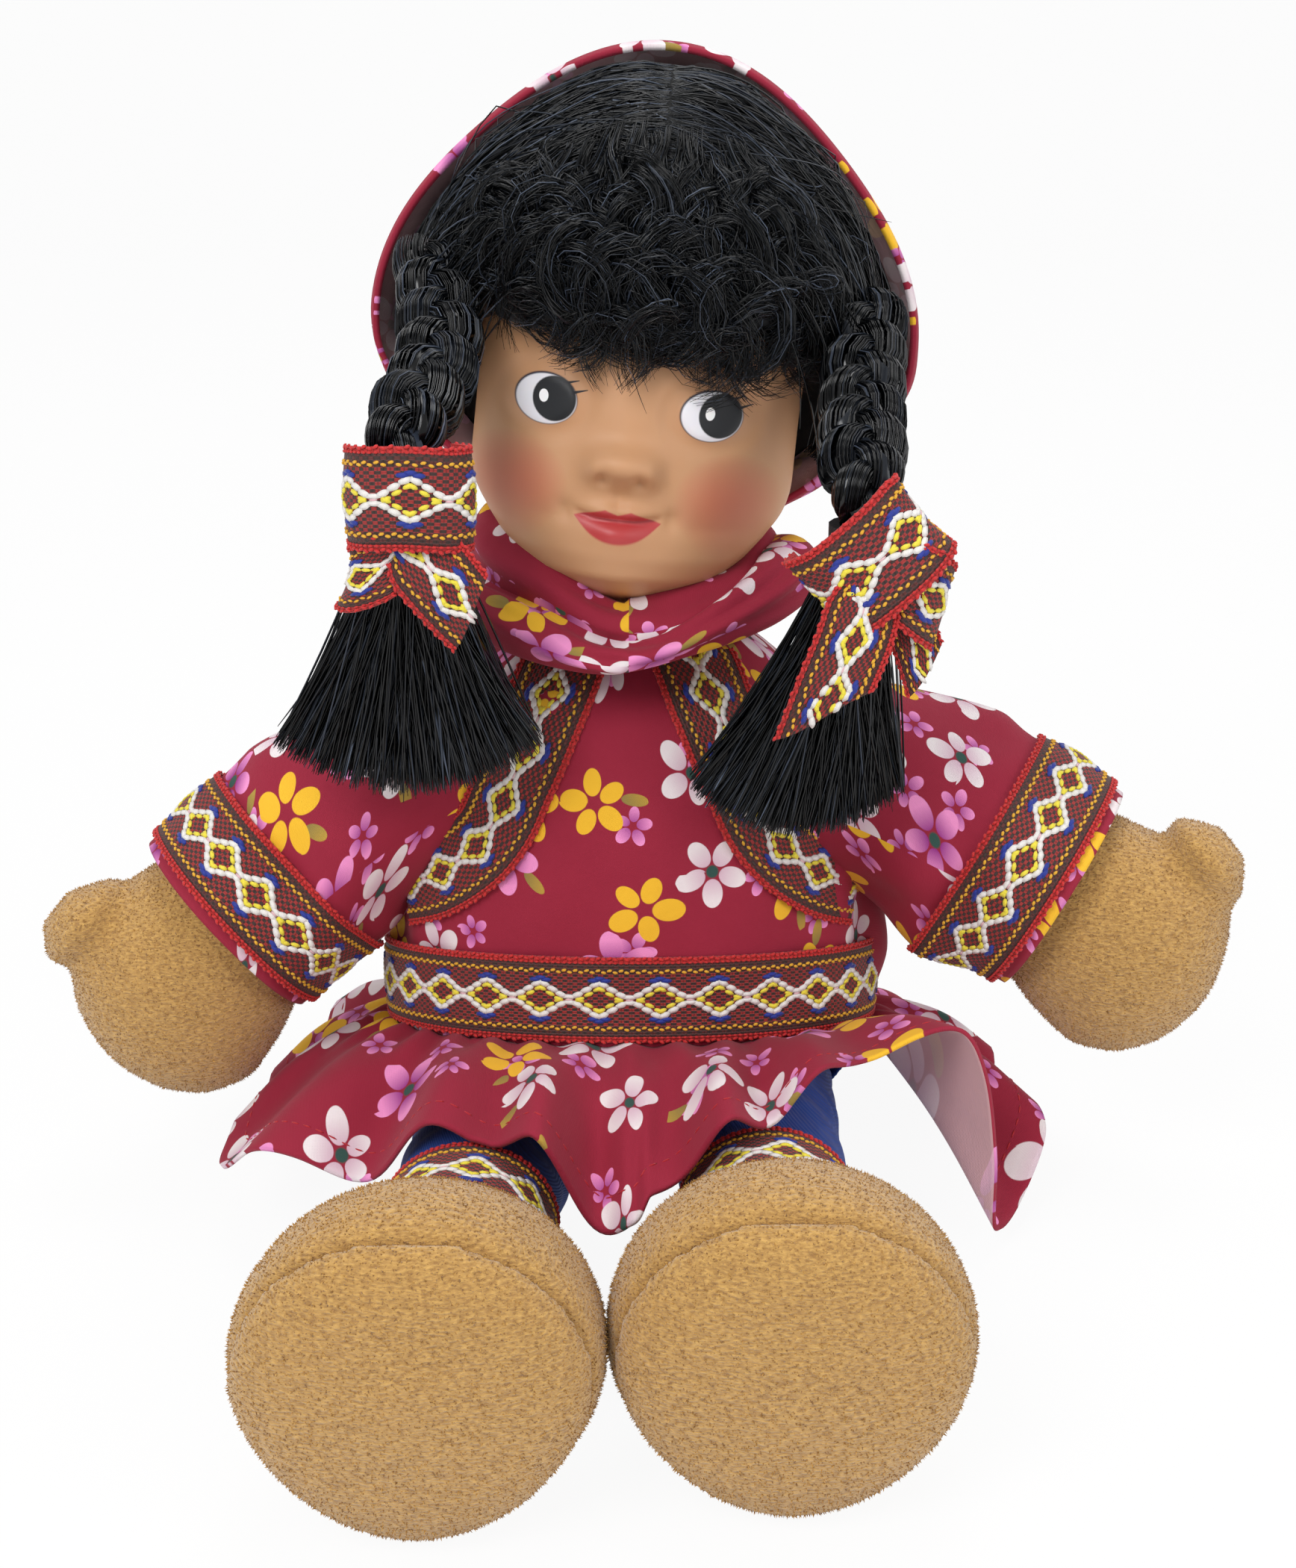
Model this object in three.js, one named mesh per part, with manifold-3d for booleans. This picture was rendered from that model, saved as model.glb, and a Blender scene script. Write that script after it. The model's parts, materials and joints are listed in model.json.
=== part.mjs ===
// Seated costume doll: stuffed body, vinyl head with braided hair, hood and scarf, dress, trousers.
// Millimetres, +Z up, the doll faces -Y and its left side is +X.
// The origin is the middle of the flat underside of the seat.
import * as THREE from "three";
import { mergeVertices } from "three/addons/utils/BufferGeometryUtils.js";
import Module from "manifold-3d";

// Cloth, ribbon and the air kept between neighbouring layers
const GAP = 0.4;
const SWING_GAP = 0.8;
const CLOTH = 1.4;
const RIBBON_WIDTH = 25;
const RIBBON = 1.2;
const TIE = 2;

// Stuffed body
const BODY_HEIGHT = 166;
const BODY_WIDTH = 140;
const BODY_DEPTH = 102;
const BELT_FRONT_HEIGHT = 69.5;
const BELT_SLOPE = 0.33;
const TROUSER_DROP = 3;

// Dress skirt
const PEPLUM_LENGTH = 48;
const PEPLUM_SWELL = 6;
const LAP_SAG = 18;
const LAP_FADE = 22;
const PLACKET_WIDTH = 14;
const PLACKET_BELOW_NECK = 16;

// Arms, measured along the arm from the shoulder
const SHOULDER_REACH = 66;
const SHOULDER_HEIGHT = 119;
const SLEEVE_RADIUS = 31.5;
const SLEEVE_LENGTH = 67;
const ARM_RADIUS = 25;
const HAND_LENGTH = 49;
const HAND_WIDTH = 66;
const HAND_SAG = 5;
const HAND_THICKNESS = 44;
const THUMB_RADIUS = 9.5;
const ARM_DROP_RIGHT = 40;
const ARM_DROP_LEFT = 28;
const ARM_DROP_LOWEST = 42;
const ARM_FORWARD = 16;

// Legs, measured along the leg from the hip
const HIP_SPREAD = 34;
const HIP_FORWARD = 50;
const LEG_RADIUS = 22.6;
const ANKLE_RADIUS = 18.4;
const LEG_REACH_RIGHT = 118;
const LEG_REACH_LEFT = 110;
const LEG_RISE = 13;
const FOOT_LENGTH = 43;
const FOOT_WIDTH = 84;
const FOOT_HEIGHT = 84;
const SOLE_BULGE = 13;
const FEET_MIDDLE = -4.7;
const FEET_GAP = 1.5;

// Head
const NECK_Y = -24;
const NECK_RADIUS = 16.5;
const FLANGE = 4;
const FLANGE_RADIUS = 20.5;
const HEAD_WIDTH = 88;
const HEAD_HEIGHT = 113;
const HEAD_DEPTH = 95;
const CHIN_RISE = 12;
const HEAD_WALL = 3;
const HEAD_SHIFT = -3.5;
const HEAD_ROLL = 6;
const HEAD_PITCH = -6;
const HAIR_RISE = 21;
const HAIR_SIDE = 12;
const FRINGE_DROP = 46;
const HOOD_SIDE = 28;
const HOOD_PEAK = 0.07;
const SCARF_RADIUS = 51;

// Braids, bows and hair tassels
const BRAID_RADIUS = 10.5;
const BRAID_ROOT_TURN = 70;
const BRAID_ROOT_RISE = 12;
const BRAID_ROOT_OUT = 6;
const BRAID_CLEAR = 19.5;
const BRAID_DROP_RIGHT = 44;
const BRAID_DROP_LEFT = 44;
const BRAID_SPREAD_RIGHT = 55;
const BRAID_SPREAD_LEFT = 58;
const BAND_WIDTH = 5;
const KNOT_DEPTH = 6.5;
const BOW_SPAN = 36;
const BOW_TAIL = 30;
const TASSEL_LENGTH = 78;
const TASSEL_WIDTH_RIGHT = 66;
const TASSEL_WIDTH_LEFT = 53;
const TASSEL_DEPTH = 15;
const TASSEL_LEAN_RIGHT = 2;
const TASSEL_LEAN_LEFT = 11;

const wasm = await Module();
wasm.setup();
const { Manifold } = wasm;
const radians = THREE.MathUtils.degToRad;
const at = (x, y, z) => new THREE.Vector3(x, y, z);

// A smooth value between rows of numbers whose first column says where each row stands
function track(rows, column, place) {
  let i = 0;
  while (i < rows.length - 2 && place > rows[i + 1][0]) i++;
  const slope = (k) => {
    const low = rows[Math.max(k - 1, 0)];
    const high = rows[Math.min(k + 1, rows.length - 1)];
    return (high[column] - low[column]) / (high[0] - low[0]);
  };
  const span = rows[i + 1][0] - rows[i][0];
  const t = THREE.MathUtils.clamp((place - rows[i][0]) / span, 0, 1);
  const rise = rows[i + 1][column] - rows[i][column];
  const bend = slope(i) * span * t * (1 - t) ** 2 - slope(i + 1) * span * t * t * (1 - t);
  return rows[i][column] + rise * t * t * (3 - 2 * t) + bend;
}

function ring(count, point) {
  return Array.from({ length: count }, (_, i) => point((i / count) * 2 * Math.PI));
}

function steps(count, value) {
  return Array.from({ length: count + 1 }, (_, i) => value(i / count));
}

// Turns points and faces into a geometry whose faces point out
function closedGeometry(points, faces) {
  let volume = 0;
  const cross = new THREE.Vector3();
  for (let f = 0; f < faces.length; f += 3) {
    const [a, b, c] = [points[faces[f]], points[faces[f + 1]], points[faces[f + 2]]];
    volume += a.dot(cross.crossVectors(b, c));
  }
  const geometry = new THREE.BufferGeometry().setFromPoints(points);
  geometry.setIndex(volume < 0 ? [...faces].reverse() : faces);
  return geometry;
}

// Skins rings of points; the ends are capped, or joined to each other for a hollow band
function loft(rings, joined = false) {
  const count = rings[0].length;
  const points = rings.flat();
  const faces = [];
  const last = rings.length - 1;
  for (let r = 0; r < (joined ? rings.length : last); r++) {
    const next = ((r + 1) % rings.length) * count;
    for (let i = 0; i < count; i++) {
      const j = (i + 1) % count;
      faces.push(r * count + i, r * count + j, next + j, r * count + i, next + j, next + i);
    }
  }
  if (!joined) {
    for (const r of [0, last]) {
      const middle = rings[r].reduce((sum, p) => sum.add(p), at(0, 0, 0)).divideScalar(count);
      const centre = points.push(middle) - 1;
      for (let i = 0; i < count; i++) {
        const edge = [r * count + i, r * count + ((i + 1) % count)];
        faces.push(centre, ...(r === 0 ? edge.reverse() : edge));
      }
    }
  }
  return closedGeometry(points, faces);
}

function hollow(outer, inner) {
  return loft([...outer, ...[...inner].reverse()], true);
}

// A strip or patch of cloth: a grid of points thickened along its own normals
function slab(grid, thickness) {
  const rows = grid.length;
  const columns = grid[0].length;
  const normal = (r, c) => {
    const along = grid[Math.min(r + 1, rows - 1)][c].clone().sub(grid[Math.max(r - 1, 0)][c]);
    const across = grid[r][Math.min(c + 1, columns - 1)].clone().sub(grid[r][Math.max(c - 1, 0)]);
    return along.cross(across).normalize();
  };
  const layer = (side) => grid.map((row, r) =>
    row.map((p, c) => p.clone().addScaledVector(normal(r, c), side)));
  const top = layer(thickness / 2);
  const bottom = layer(-thickness / 2);
  return loft(top.map((row, r) => [...row, ...[...bottom[r]].reverse()]));
}

function solid(geometry) {
  const plain = geometry.clone();
  plain.deleteAttribute("normal");
  plain.deleteAttribute("uv");
  const merged = mergeVertices(plain, 1e-4);
  const vertProperties = new Float32Array(merged.attributes.position.array);
  const triVerts = new Uint32Array(merged.index.array);
  return new Manifold(new wasm.Mesh({ numProp: 3, vertProperties, triVerts }));
}

function geometryOf(manifold) {
  const data = manifold.getMesh();
  const geometry = new THREE.BufferGeometry();
  geometry.setAttribute("position", new THREE.BufferAttribute(new Float32Array(data.vertProperties), 3));
  geometry.setIndex([...data.triVerts]);
  return geometry;
}

// Plain bodies used to join and cut
function ball(radii, centre, sides = 24) {
  return solid(new THREE.SphereGeometry(1, sides, sides / 2).scale(...radii).translate(...centre));
}

function block(low, high) {
  const size = high.map((value, i) => value - low[i]);
  const middle = high.map((value, i) => (value + low[i]) / 2);
  return solid(new THREE.BoxGeometry(...size).translate(...middle));
}

function roundBar(radius, from, towards, length) {
  const turn = new THREE.Quaternion().setFromUnitVectors(at(0, 1, 0), towards.clone().normalize());
  const place = new THREE.Matrix4().compose(from, turn, at(1, 1, 1));
  const bar = new THREE.CylinderGeometry(radius, radius, length, 24).translate(0, length / 2, 0);
  return solid(bar.applyMatrix4(place));
}

// A drum round the neck axis
function drum(radius, low, high) {
  const bar = new THREE.CylinderGeometry(radius, radius, high - low, 24).rotateX(Math.PI / 2);
  return solid(bar.translate(0, NECK_Y, (low + high) / 2));
}

function lathed(profile, segments) {
  const points = profile.map(([radius, height]) => new THREE.Vector2(radius, height));
  return new THREE.LatheGeometry(points, segments).rotateX(Math.PI / 2);
}

const materials = {
  print: { color: 0xa51c3c, roughness: 0.9, metalness: 0 },
  ribbon: { color: 0x8a4030, roughness: 0.75, metalness: 0 },
  plush: { color: 0xbe9150, roughness: 1, metalness: 0 },
  vinyl: { color: 0xc8966a, roughness: 0.5, metalness: 0 },
  hair: { color: 0x0f1216, roughness: 0.4, metalness: 0 },
  trousers: { color: 0x143c8c, roughness: 0.9, metalness: 0 },
  tie: { color: 0xe8e2d8, roughness: 0.6, metalness: 0 },
};

function piece(group, name, shape, finish) {
  const geometry = shape.isBufferGeometry ? shape : geometryOf(shape);
  const mesh = new THREE.Mesh(geometry, new THREE.MeshStandardMaterial(materials[finish]));
  mesh.name = name;
  group.add(mesh);
}

const doll = new THREE.Group();
doll.name = "costume_doll";

// Body outline: share of height, then half width, front and back as shares of width and depth
const BODY_ROWS = [
  [0, 0.36, -0.6, 0.19],
  [0.12, 0.47, -0.73, 0.26],
  [0.3, 0.5, -0.765, 0.235],
  [0.51, 0.487, -0.735, 0.18],
  [0.72, 0.45, -0.69, 0.13],
  [0.855, 0.37, -0.645, 0.07],
  [0.928, 0.28, -0.58, 0],
  [1, 0.16, -0.42, -0.05],
];
const BODY_SIDES = 24;
const BODY_LEVELS = 8;

function bodyPoint(angle, height, offset) {
  const share = height / BODY_HEIGHT;
  const half = track(BODY_ROWS, 1, share) * BODY_WIDTH + offset;
  const front = track(BODY_ROWS, 2, share) * BODY_DEPTH - offset;
  const back = track(BODY_ROWS, 3, share) * BODY_DEPTH + offset;
  return at(half * Math.sin(angle), (front + back) / 2 - ((back - front) / 2) * Math.cos(angle), height);
}

// The whole body outline from one height to the top, grown by an offset
function bodySolid(low, offset) {
  return solid(loft(steps(BODY_LEVELS, (t) =>
    ring(BODY_SIDES, (a) => bodyPoint(a, low + (BODY_HEIGHT - low) * t, offset)))));
}

// Room that the arms and legs need in the body and its clothes
const hipRadius = LEG_RADIUS + GAP + CLOTH;
const hipHeight = hipRadius + GAP;
const hip = (side) => at(side * HIP_SPREAD, -HIP_FORWARD, hipHeight);
const hipRoom = (() => {
  const radius = hipRadius + SWING_GAP;
  const reach = BODY_WIDTH / 2 + HIP_SPREAD;
  const rise = (LEG_RISE * BODY_DEPTH * 0.4) / LEG_REACH_LEFT;
  const axle = roundBar(radius, at(-reach, -HIP_FORWARD, hipHeight), at(1, 0, 0), reach * 2);
  const aheadTop = hipHeight + radius + rise;
  const ahead = block([-reach, -HIP_FORWARD - BODY_DEPTH, -radius], [reach, -HIP_FORWARD, aheadTop]);
  const below = block([-reach, -HIP_FORWARD - radius, -radius], [reach, -HIP_FORWARD + radius, hipHeight]);
  return axle.add(ahead).add(below);
})();

const shoulderY = -0.28 * BODY_DEPTH;
const shoulder = (side) => at(side * SHOULDER_REACH, shoulderY, SHOULDER_HEIGHT);
const armTurn = (side, drop) => new THREE.Euler(0, side * radians(drop), -side * radians(ARM_FORWARD));
const armDirection = (side) => at(side, 0, 0).applyEuler(armTurn(side, ARM_DROP_LOWEST));
const armRoom = [-1, 1].map((side) => {
  const radius = SLEEVE_RADIUS + SWING_GAP;
  const centre = shoulder(side);
  return ball([radius, radius, radius], centre.toArray(), 24)
    .add(roundBar(radius, centre, armDirection(side), SLEEVE_LENGTH));
}).reduce((both, room) => both.add(room));

const withRoom = (shape) => shape.subtract(armRoom).subtract(hipRoom);

// Torso with a gathered collar and a pocket for the flange of the vinyl neck
const collarTop = BODY_HEIGHT + 5;
const collarRadius = NECK_RADIUS + GAP + 2;
const flangeHeight = BODY_HEIGHT - 18;
const seatSkin = CLOTH + GAP;
const collar = drum(collarRadius, BODY_HEIGHT - 15, collarTop);
const neckPocket = drum(NECK_RADIUS + GAP, flangeHeight, collarTop + 1)
  .add(drum(FLANGE_RADIUS + GAP, flangeHeight - GAP, flangeHeight + FLANGE + GAP));
piece(doll, "torso", withRoom(bodySolid(seatSkin, 0)).add(collar).subtract(neckPocket), "plush");

const tieHeight = collarTop - 4;
const tieProfile = [[GAP, 0], [GAP + TIE, 0], [GAP + TIE, 3], [GAP, 3], [GAP, 0]]
  .map(([out, up]) => [collarRadius + out, tieHeight + up]);
piece(doll, "neck_tie", lathed(tieProfile, 24).translate(0, NECK_Y, 0), "tie");

// Dress: bodice, ribbons and the back closing
const dressInside = GAP;
const dressOutside = GAP + CLOTH;
const trimInside = dressOutside + GAP;
const trimOutside = trimInside + RIBBON;
const bodyFront = -0.765 * BODY_DEPTH;
const beltHeight = (y) => BELT_FRONT_HEIGHT - BELT_SLOPE * (y - bodyFront);

// Everything above the sloping plane that lies a distance over the middle of the belt
function aboveBelt(distance) {
  const span = BODY_HEIGHT * 2;
  const half = new THREE.BoxGeometry(span, span, span).translate(0, 0, distance + span / 2);
  return solid(half.rotateX(-Math.atan(BELT_SLOPE)).translate(0, 0, beltHeight(0)));
}
const bodyShell = (inside, outside) => bodySolid(seatSkin, outside).subtract(bodySolid(seatSkin, inside));
const aboveHem = aboveBelt(-RIBBON_WIDTH / 2);
const collarRoom = drum(collarRadius + 2 * GAP + TIE, BODY_HEIGHT / 2, BODY_HEIGHT * 2);
const bodice = withRoom(bodyShell(dressInside, dressOutside)).intersect(aboveHem).subtract(collarRoom);
piece(doll, "bodice", bodice, "print");
const belt = bodyShell(trimInside, trimOutside).intersect(aboveHem).subtract(aboveBelt(RIBBON_WIDTH / 2));
piece(doll, "waist_ribbon", belt, "ribbon");

// A ribbon laid on the dress along stations of angle in degrees and height
function trimStrip(stations, width, rows, columns) {
  const turns = stations.map(([angle], i) => [i, angle]);
  const heights = stations.map(([, height], i) => [i, height]);
  const place = (s) => [radians(track(turns, 1, s)), track(heights, 1, s)];
  const grid = (offset) => steps(rows, (t) => {
    const s = t * (stations.length - 1);
    const [a0, h0] = place(Math.max(s - 0.05, 0));
    const [a1, h1] = place(Math.min(s + 0.05, stations.length - 1));
    const [angle, height] = place(s);
    const girth = BODY_WIDTH / 2;
    const run = at((a1 - a0) * girth, h1 - h0, 0).normalize();
    return steps(columns, (u) => {
      const side = (u - 0.5) * width;
      return bodyPoint(angle + (-run.y * side) / girth, height + run.x * side, offset);
    });
  });
  const inner = grid(0);
  const strip = loft(grid(trimOutside).map((row, r) => [...row, ...[...inner[r]].reverse()]));
  return solid(strip).subtract(bodySolid(seatSkin, trimInside)).subtract(armRoom);
}
const trimPath = [[23, BODY_HEIGHT - 6], [24, 148], [28, 130], [36, 112], [50, 99], [66, 91]];
for (const [side, name] of [[-1, "right"], [1, "left"]]) {
  const path = trimPath.map(([angle, height]) => [side * angle, height]);
  piece(doll, `bolero_trim_${name}`, trimStrip(path, RIBBON_WIDTH, 10, 4), "ribbon");
}
const placketPath = [[180, beltHeight(0) + RIBBON_WIDTH], [180, 110], [180, BODY_HEIGHT - PLACKET_BELOW_NECK]];
piece(doll, "back_placket", trimStrip(placketPath, PLACKET_WIDTH, 6, 2), "tie");

// Peplum: hangs from the belt, out over the lap, down at the sides and back
const hemFall = RIBBON_WIDTH / 2 * Math.hypot(1, BELT_SLOPE) + GAP;
const peplumTop = (a) => {
  let height = BELT_FRONT_HEIGHT;
  for (let i = 0; i < 4; i++) height = beltHeight(bodyPoint(a, height, trimInside).y) - hemFall;
  return height;
};
const PEPLUM_ROWS = [
  // angle at the waist in degrees, then how far the hem lies aside, forward and down, as shares of the length
  [-180, 0, -0.7, 0.3],
  [-138, -0.43, -0.62, 0.4],
  [-102, -0.86, 0.08, 0.5],
  [-82, -0.86, 0.8, 0.42],
  [-74, -0.98, 1.03, 0.28],
  [-66, -0.82, 1.13, 0.2],
  [-58, -0.6, 1.2, 0],
  [-48, -0.33, 1.22, -0.2],
  [-24, -0.07, 1.32, -0.22],
  [-13, -0.02, 1.4, -0.04],
  [-4, 0.02, 1.46, 0.28],
  [1, 0, 1.44, 0.34],
  [6, 0, 1.38, 0.1],
  [14, 0.08, 1.32, -0.12],
  [34, 0.18, 1.15, -0.3],
  [44, 0.28, 1.05, -0.42],
  [51, 0.43, 0.94, -0.45],
  [57, 0.6, 0.89, -0.36],
  [60, 0.7, 0.93, 0],
  [64, 0.79, 0.97, 0.85],
  [68, 0.93, 0.86, 0.7],
  [75, 1.06, 0.74, 0.32],
  [84, 0.95, 0.52, 0.44],
  [94, 0.87, 0.22, 0.58],
  [120, 0.69, -0.39, 0.45],
  [138, 0.43, -0.62, 0.3],
  [180, 0, -0.7, 0.3],
];
// Height that keeps the skirt clear of the clothed legs
function lapHeight(x, y) {
  const along = THREE.MathUtils.clamp((-y - HIP_FORWARD) / LEG_REACH_LEFT, 0, 1);
  const radius = LEG_RADIUS + (ANKLE_RADIUS - LEG_RADIUS) * along + 2 * GAP + CLOTH + RIBBON;
  const top = hipHeight + LEG_RISE * along + radius + SWING_GAP + CLOTH;
  const outer = HIP_SPREAD + LEG_RADIUS + CLOTH + 2 * GAP;
  const onLap = 1 - THREE.MathUtils.smoothstep(Math.abs(x), outer, outer + LAP_FADE);
  const between = 1 - THREE.MathUtils.smoothstep(Math.abs(x), 0, HIP_SPREAD * 0.7);
  return y < -HIP_FORWARD ? (top - LAP_SAG * along * between) * onLap : 0;
}
function peplumPoint(a, t) {
  const turn = THREE.MathUtils.radToDeg(Math.atan2(Math.sin(a), Math.cos(a)));
  const top = bodyPoint(a, peplumTop(a), trimInside);
  const [aside, forward, down] = [1, 2, 3].map((column) => track(PEPLUM_ROWS, column, turn) * PEPLUM_LENGTH * t);
  const x = top.x + aside;
  const y = top.y - forward;
  const swell = PEPLUM_SWELL * Math.sin(Math.PI * t) * (1 - 0.4 * t);
  const rest = Math.max(2 * CLOTH + GAP, lapHeight(x, y));
  return at(x, y, t === 0 ? top.z - GAP / 2 : Math.max(top.z - down * (0.85 + 0.15 * t) + swell, rest));
}
const PEPLUM_SIDES = 90;
const peplumSheet = steps(5, (t) => ring(PEPLUM_SIDES, (a) => peplumPoint(a, t)));
const peplumUnder = peplumSheet.map((row, r) => row.map((p, c) => {
  const along = peplumSheet[Math.min(r + 1, 5)][c].clone().sub(peplumSheet[Math.max(r - 1, 0)][c]);
  const across = row[(c + 1) % PEPLUM_SIDES].clone().sub(row[(c + PEPLUM_SIDES - 1) % PEPLUM_SIDES]);
  return p.clone().addScaledVector(along.cross(across).normalize(), -CLOTH);
}));
piece(doll, "peplum", hollow(peplumSheet, peplumUnder), "print");

// Seat of the trousers, a cup under the body that stands on its flat underside
const seatCup = bodySolid(seatSkin, GAP + CLOTH).add(solid(loft([0, seatSkin].map((height) =>
  ring(BODY_SIDES, (a) => bodyPoint(a, seatSkin, GAP + CLOTH).setZ(height))))))
  .subtract(bodySolid(CLOTH, GAP))
  .subtract(bodySolid(seatSkin, GAP))
  .subtract(aboveBelt(-RIBBON_WIDTH / 2 - TROUSER_DROP));
piece(doll, "trouser_seat", seatCup.subtract(hipRoom), "trousers");

// Arms: built for the left side along +X with the thumb up, mirrored for the right
function addArm(side, name, drop) {
  const group = new THREE.Group();
  group.name = `arm_group_${name}`;
  group.position.copy(shoulder(side));
  group.rotation.copy(armTurn(side, drop));
  group.scale.x = side;
  doll.add(group);

  const sides = 24;
  const roundX = (x, radius) => ring(sides, (a) => at(x, radius * Math.cos(a), radius * Math.sin(a)));
  const sleeveRows = [[0, 0], [0.3, 0.2], [0.55, 0], [1, 0]];
  const sleeve = (inset) => steps(2, (t) =>
    roundX(t * SLEEVE_LENGTH, SLEEVE_RADIUS + track(sleeveRows, 1, t) * t - inset));
  piece(group, `sleeve_${name}`, hollow(sleeve(0), sleeve(CLOTH)), "print");

  const cuffEnd = SLEEVE_LENGTH - 3;
  const cuff = (out) => steps(1, (t) => roundX(cuffEnd - RIBBON_WIDTH * (1 - t), SLEEVE_RADIUS + GAP + out));
  piece(group, `cuff_ribbon_${name}`, hollow(cuff(RIBBON), cuff(0)), "ribbon");

  // The shoulder end is a ball that sits in the body and closes the sleeve
  const cap = SLEEVE_RADIUS + SWING_GAP - 2 * GAP;
  const capRings = [0.97, 0.8, 0.5, 0.2].map((share) =>
    roundX(-cap * share, cap * Math.sqrt(1 - share ** 2)));

  // Arm and mitten stations: place, half width up and down, half thickness fore and aft
  const wrist = SLEEVE_LENGTH + 1;
  const room = SLEEVE_RADIUS - CLOTH - GAP;
  const palm = HAND_WIDTH / 2;
  const thick = HAND_THICKNESS / 2;
  const sag = (x) => HAND_SAG * THREE.MathUtils.smoothstep(x, wrist * 0.75, wrist + HAND_LENGTH * 0.5);
  const armRings = [
    [-GAP, cap, cap],
    [0, room, room],
    [wrist * 0.35, ARM_RADIUS * 1.06, ARM_RADIUS * 1.04],
    [wrist * 0.75, ARM_RADIUS, ARM_RADIUS * 0.92],
    [wrist, ARM_RADIUS * 1.12, thick],
    [wrist + HAND_LENGTH * 0.2, palm * 0.93, thick * 1.04],
    [wrist + HAND_LENGTH * 0.5, palm, thick],
    [wrist + HAND_LENGTH * 0.75, palm * 0.86, thick * 0.85],
    [wrist + HAND_LENGTH * 0.92, palm * 0.56, thick * 0.58],
    [wrist + HAND_LENGTH, palm * 0.18, thick * 0.2],
  ].map(([x, up, fore]) => ring(sides, (a) => at(x, fore * Math.cos(a), up * Math.sin(a) - sag(x))));
  const thumbFrom = at(wrist + HAND_LENGTH * 0.4, 0, palm * 0.45);
  const thumbTo = at(wrist + HAND_LENGTH * 0.62, 0, palm * 1.0);
  const thumbAlong = thumbTo.clone().sub(thumbFrom);
  const across = at(thumbAlong.z, 0, -thumbAlong.x).normalize();
  const thumbRows = [[0, 0.9], [0.4, 1], [0.8, 1.02], [1.05, 0.86], [1.22, 0.5], [1.28, 0.16]];
  const thumb = thumbRows.map(([along, swell]) => {
    const centre = thumbFrom.clone().addScaledVector(thumbAlong, along);
    const radius = THUMB_RADIUS * swell;
    return ring(10, (a) => centre.clone()
      .addScaledVector(across, radius * Math.cos(a))
      .add(at(0, radius * Math.sin(a), 0)));
  });
  piece(group, `arm_${name}`, solid(loft([...capRings, ...armRings])).add(solid(loft(thumb))), "plush");
}
addArm(-1, "right", ARM_DROP_RIGHT);
addArm(1, "left", ARM_DROP_LEFT);

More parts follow.
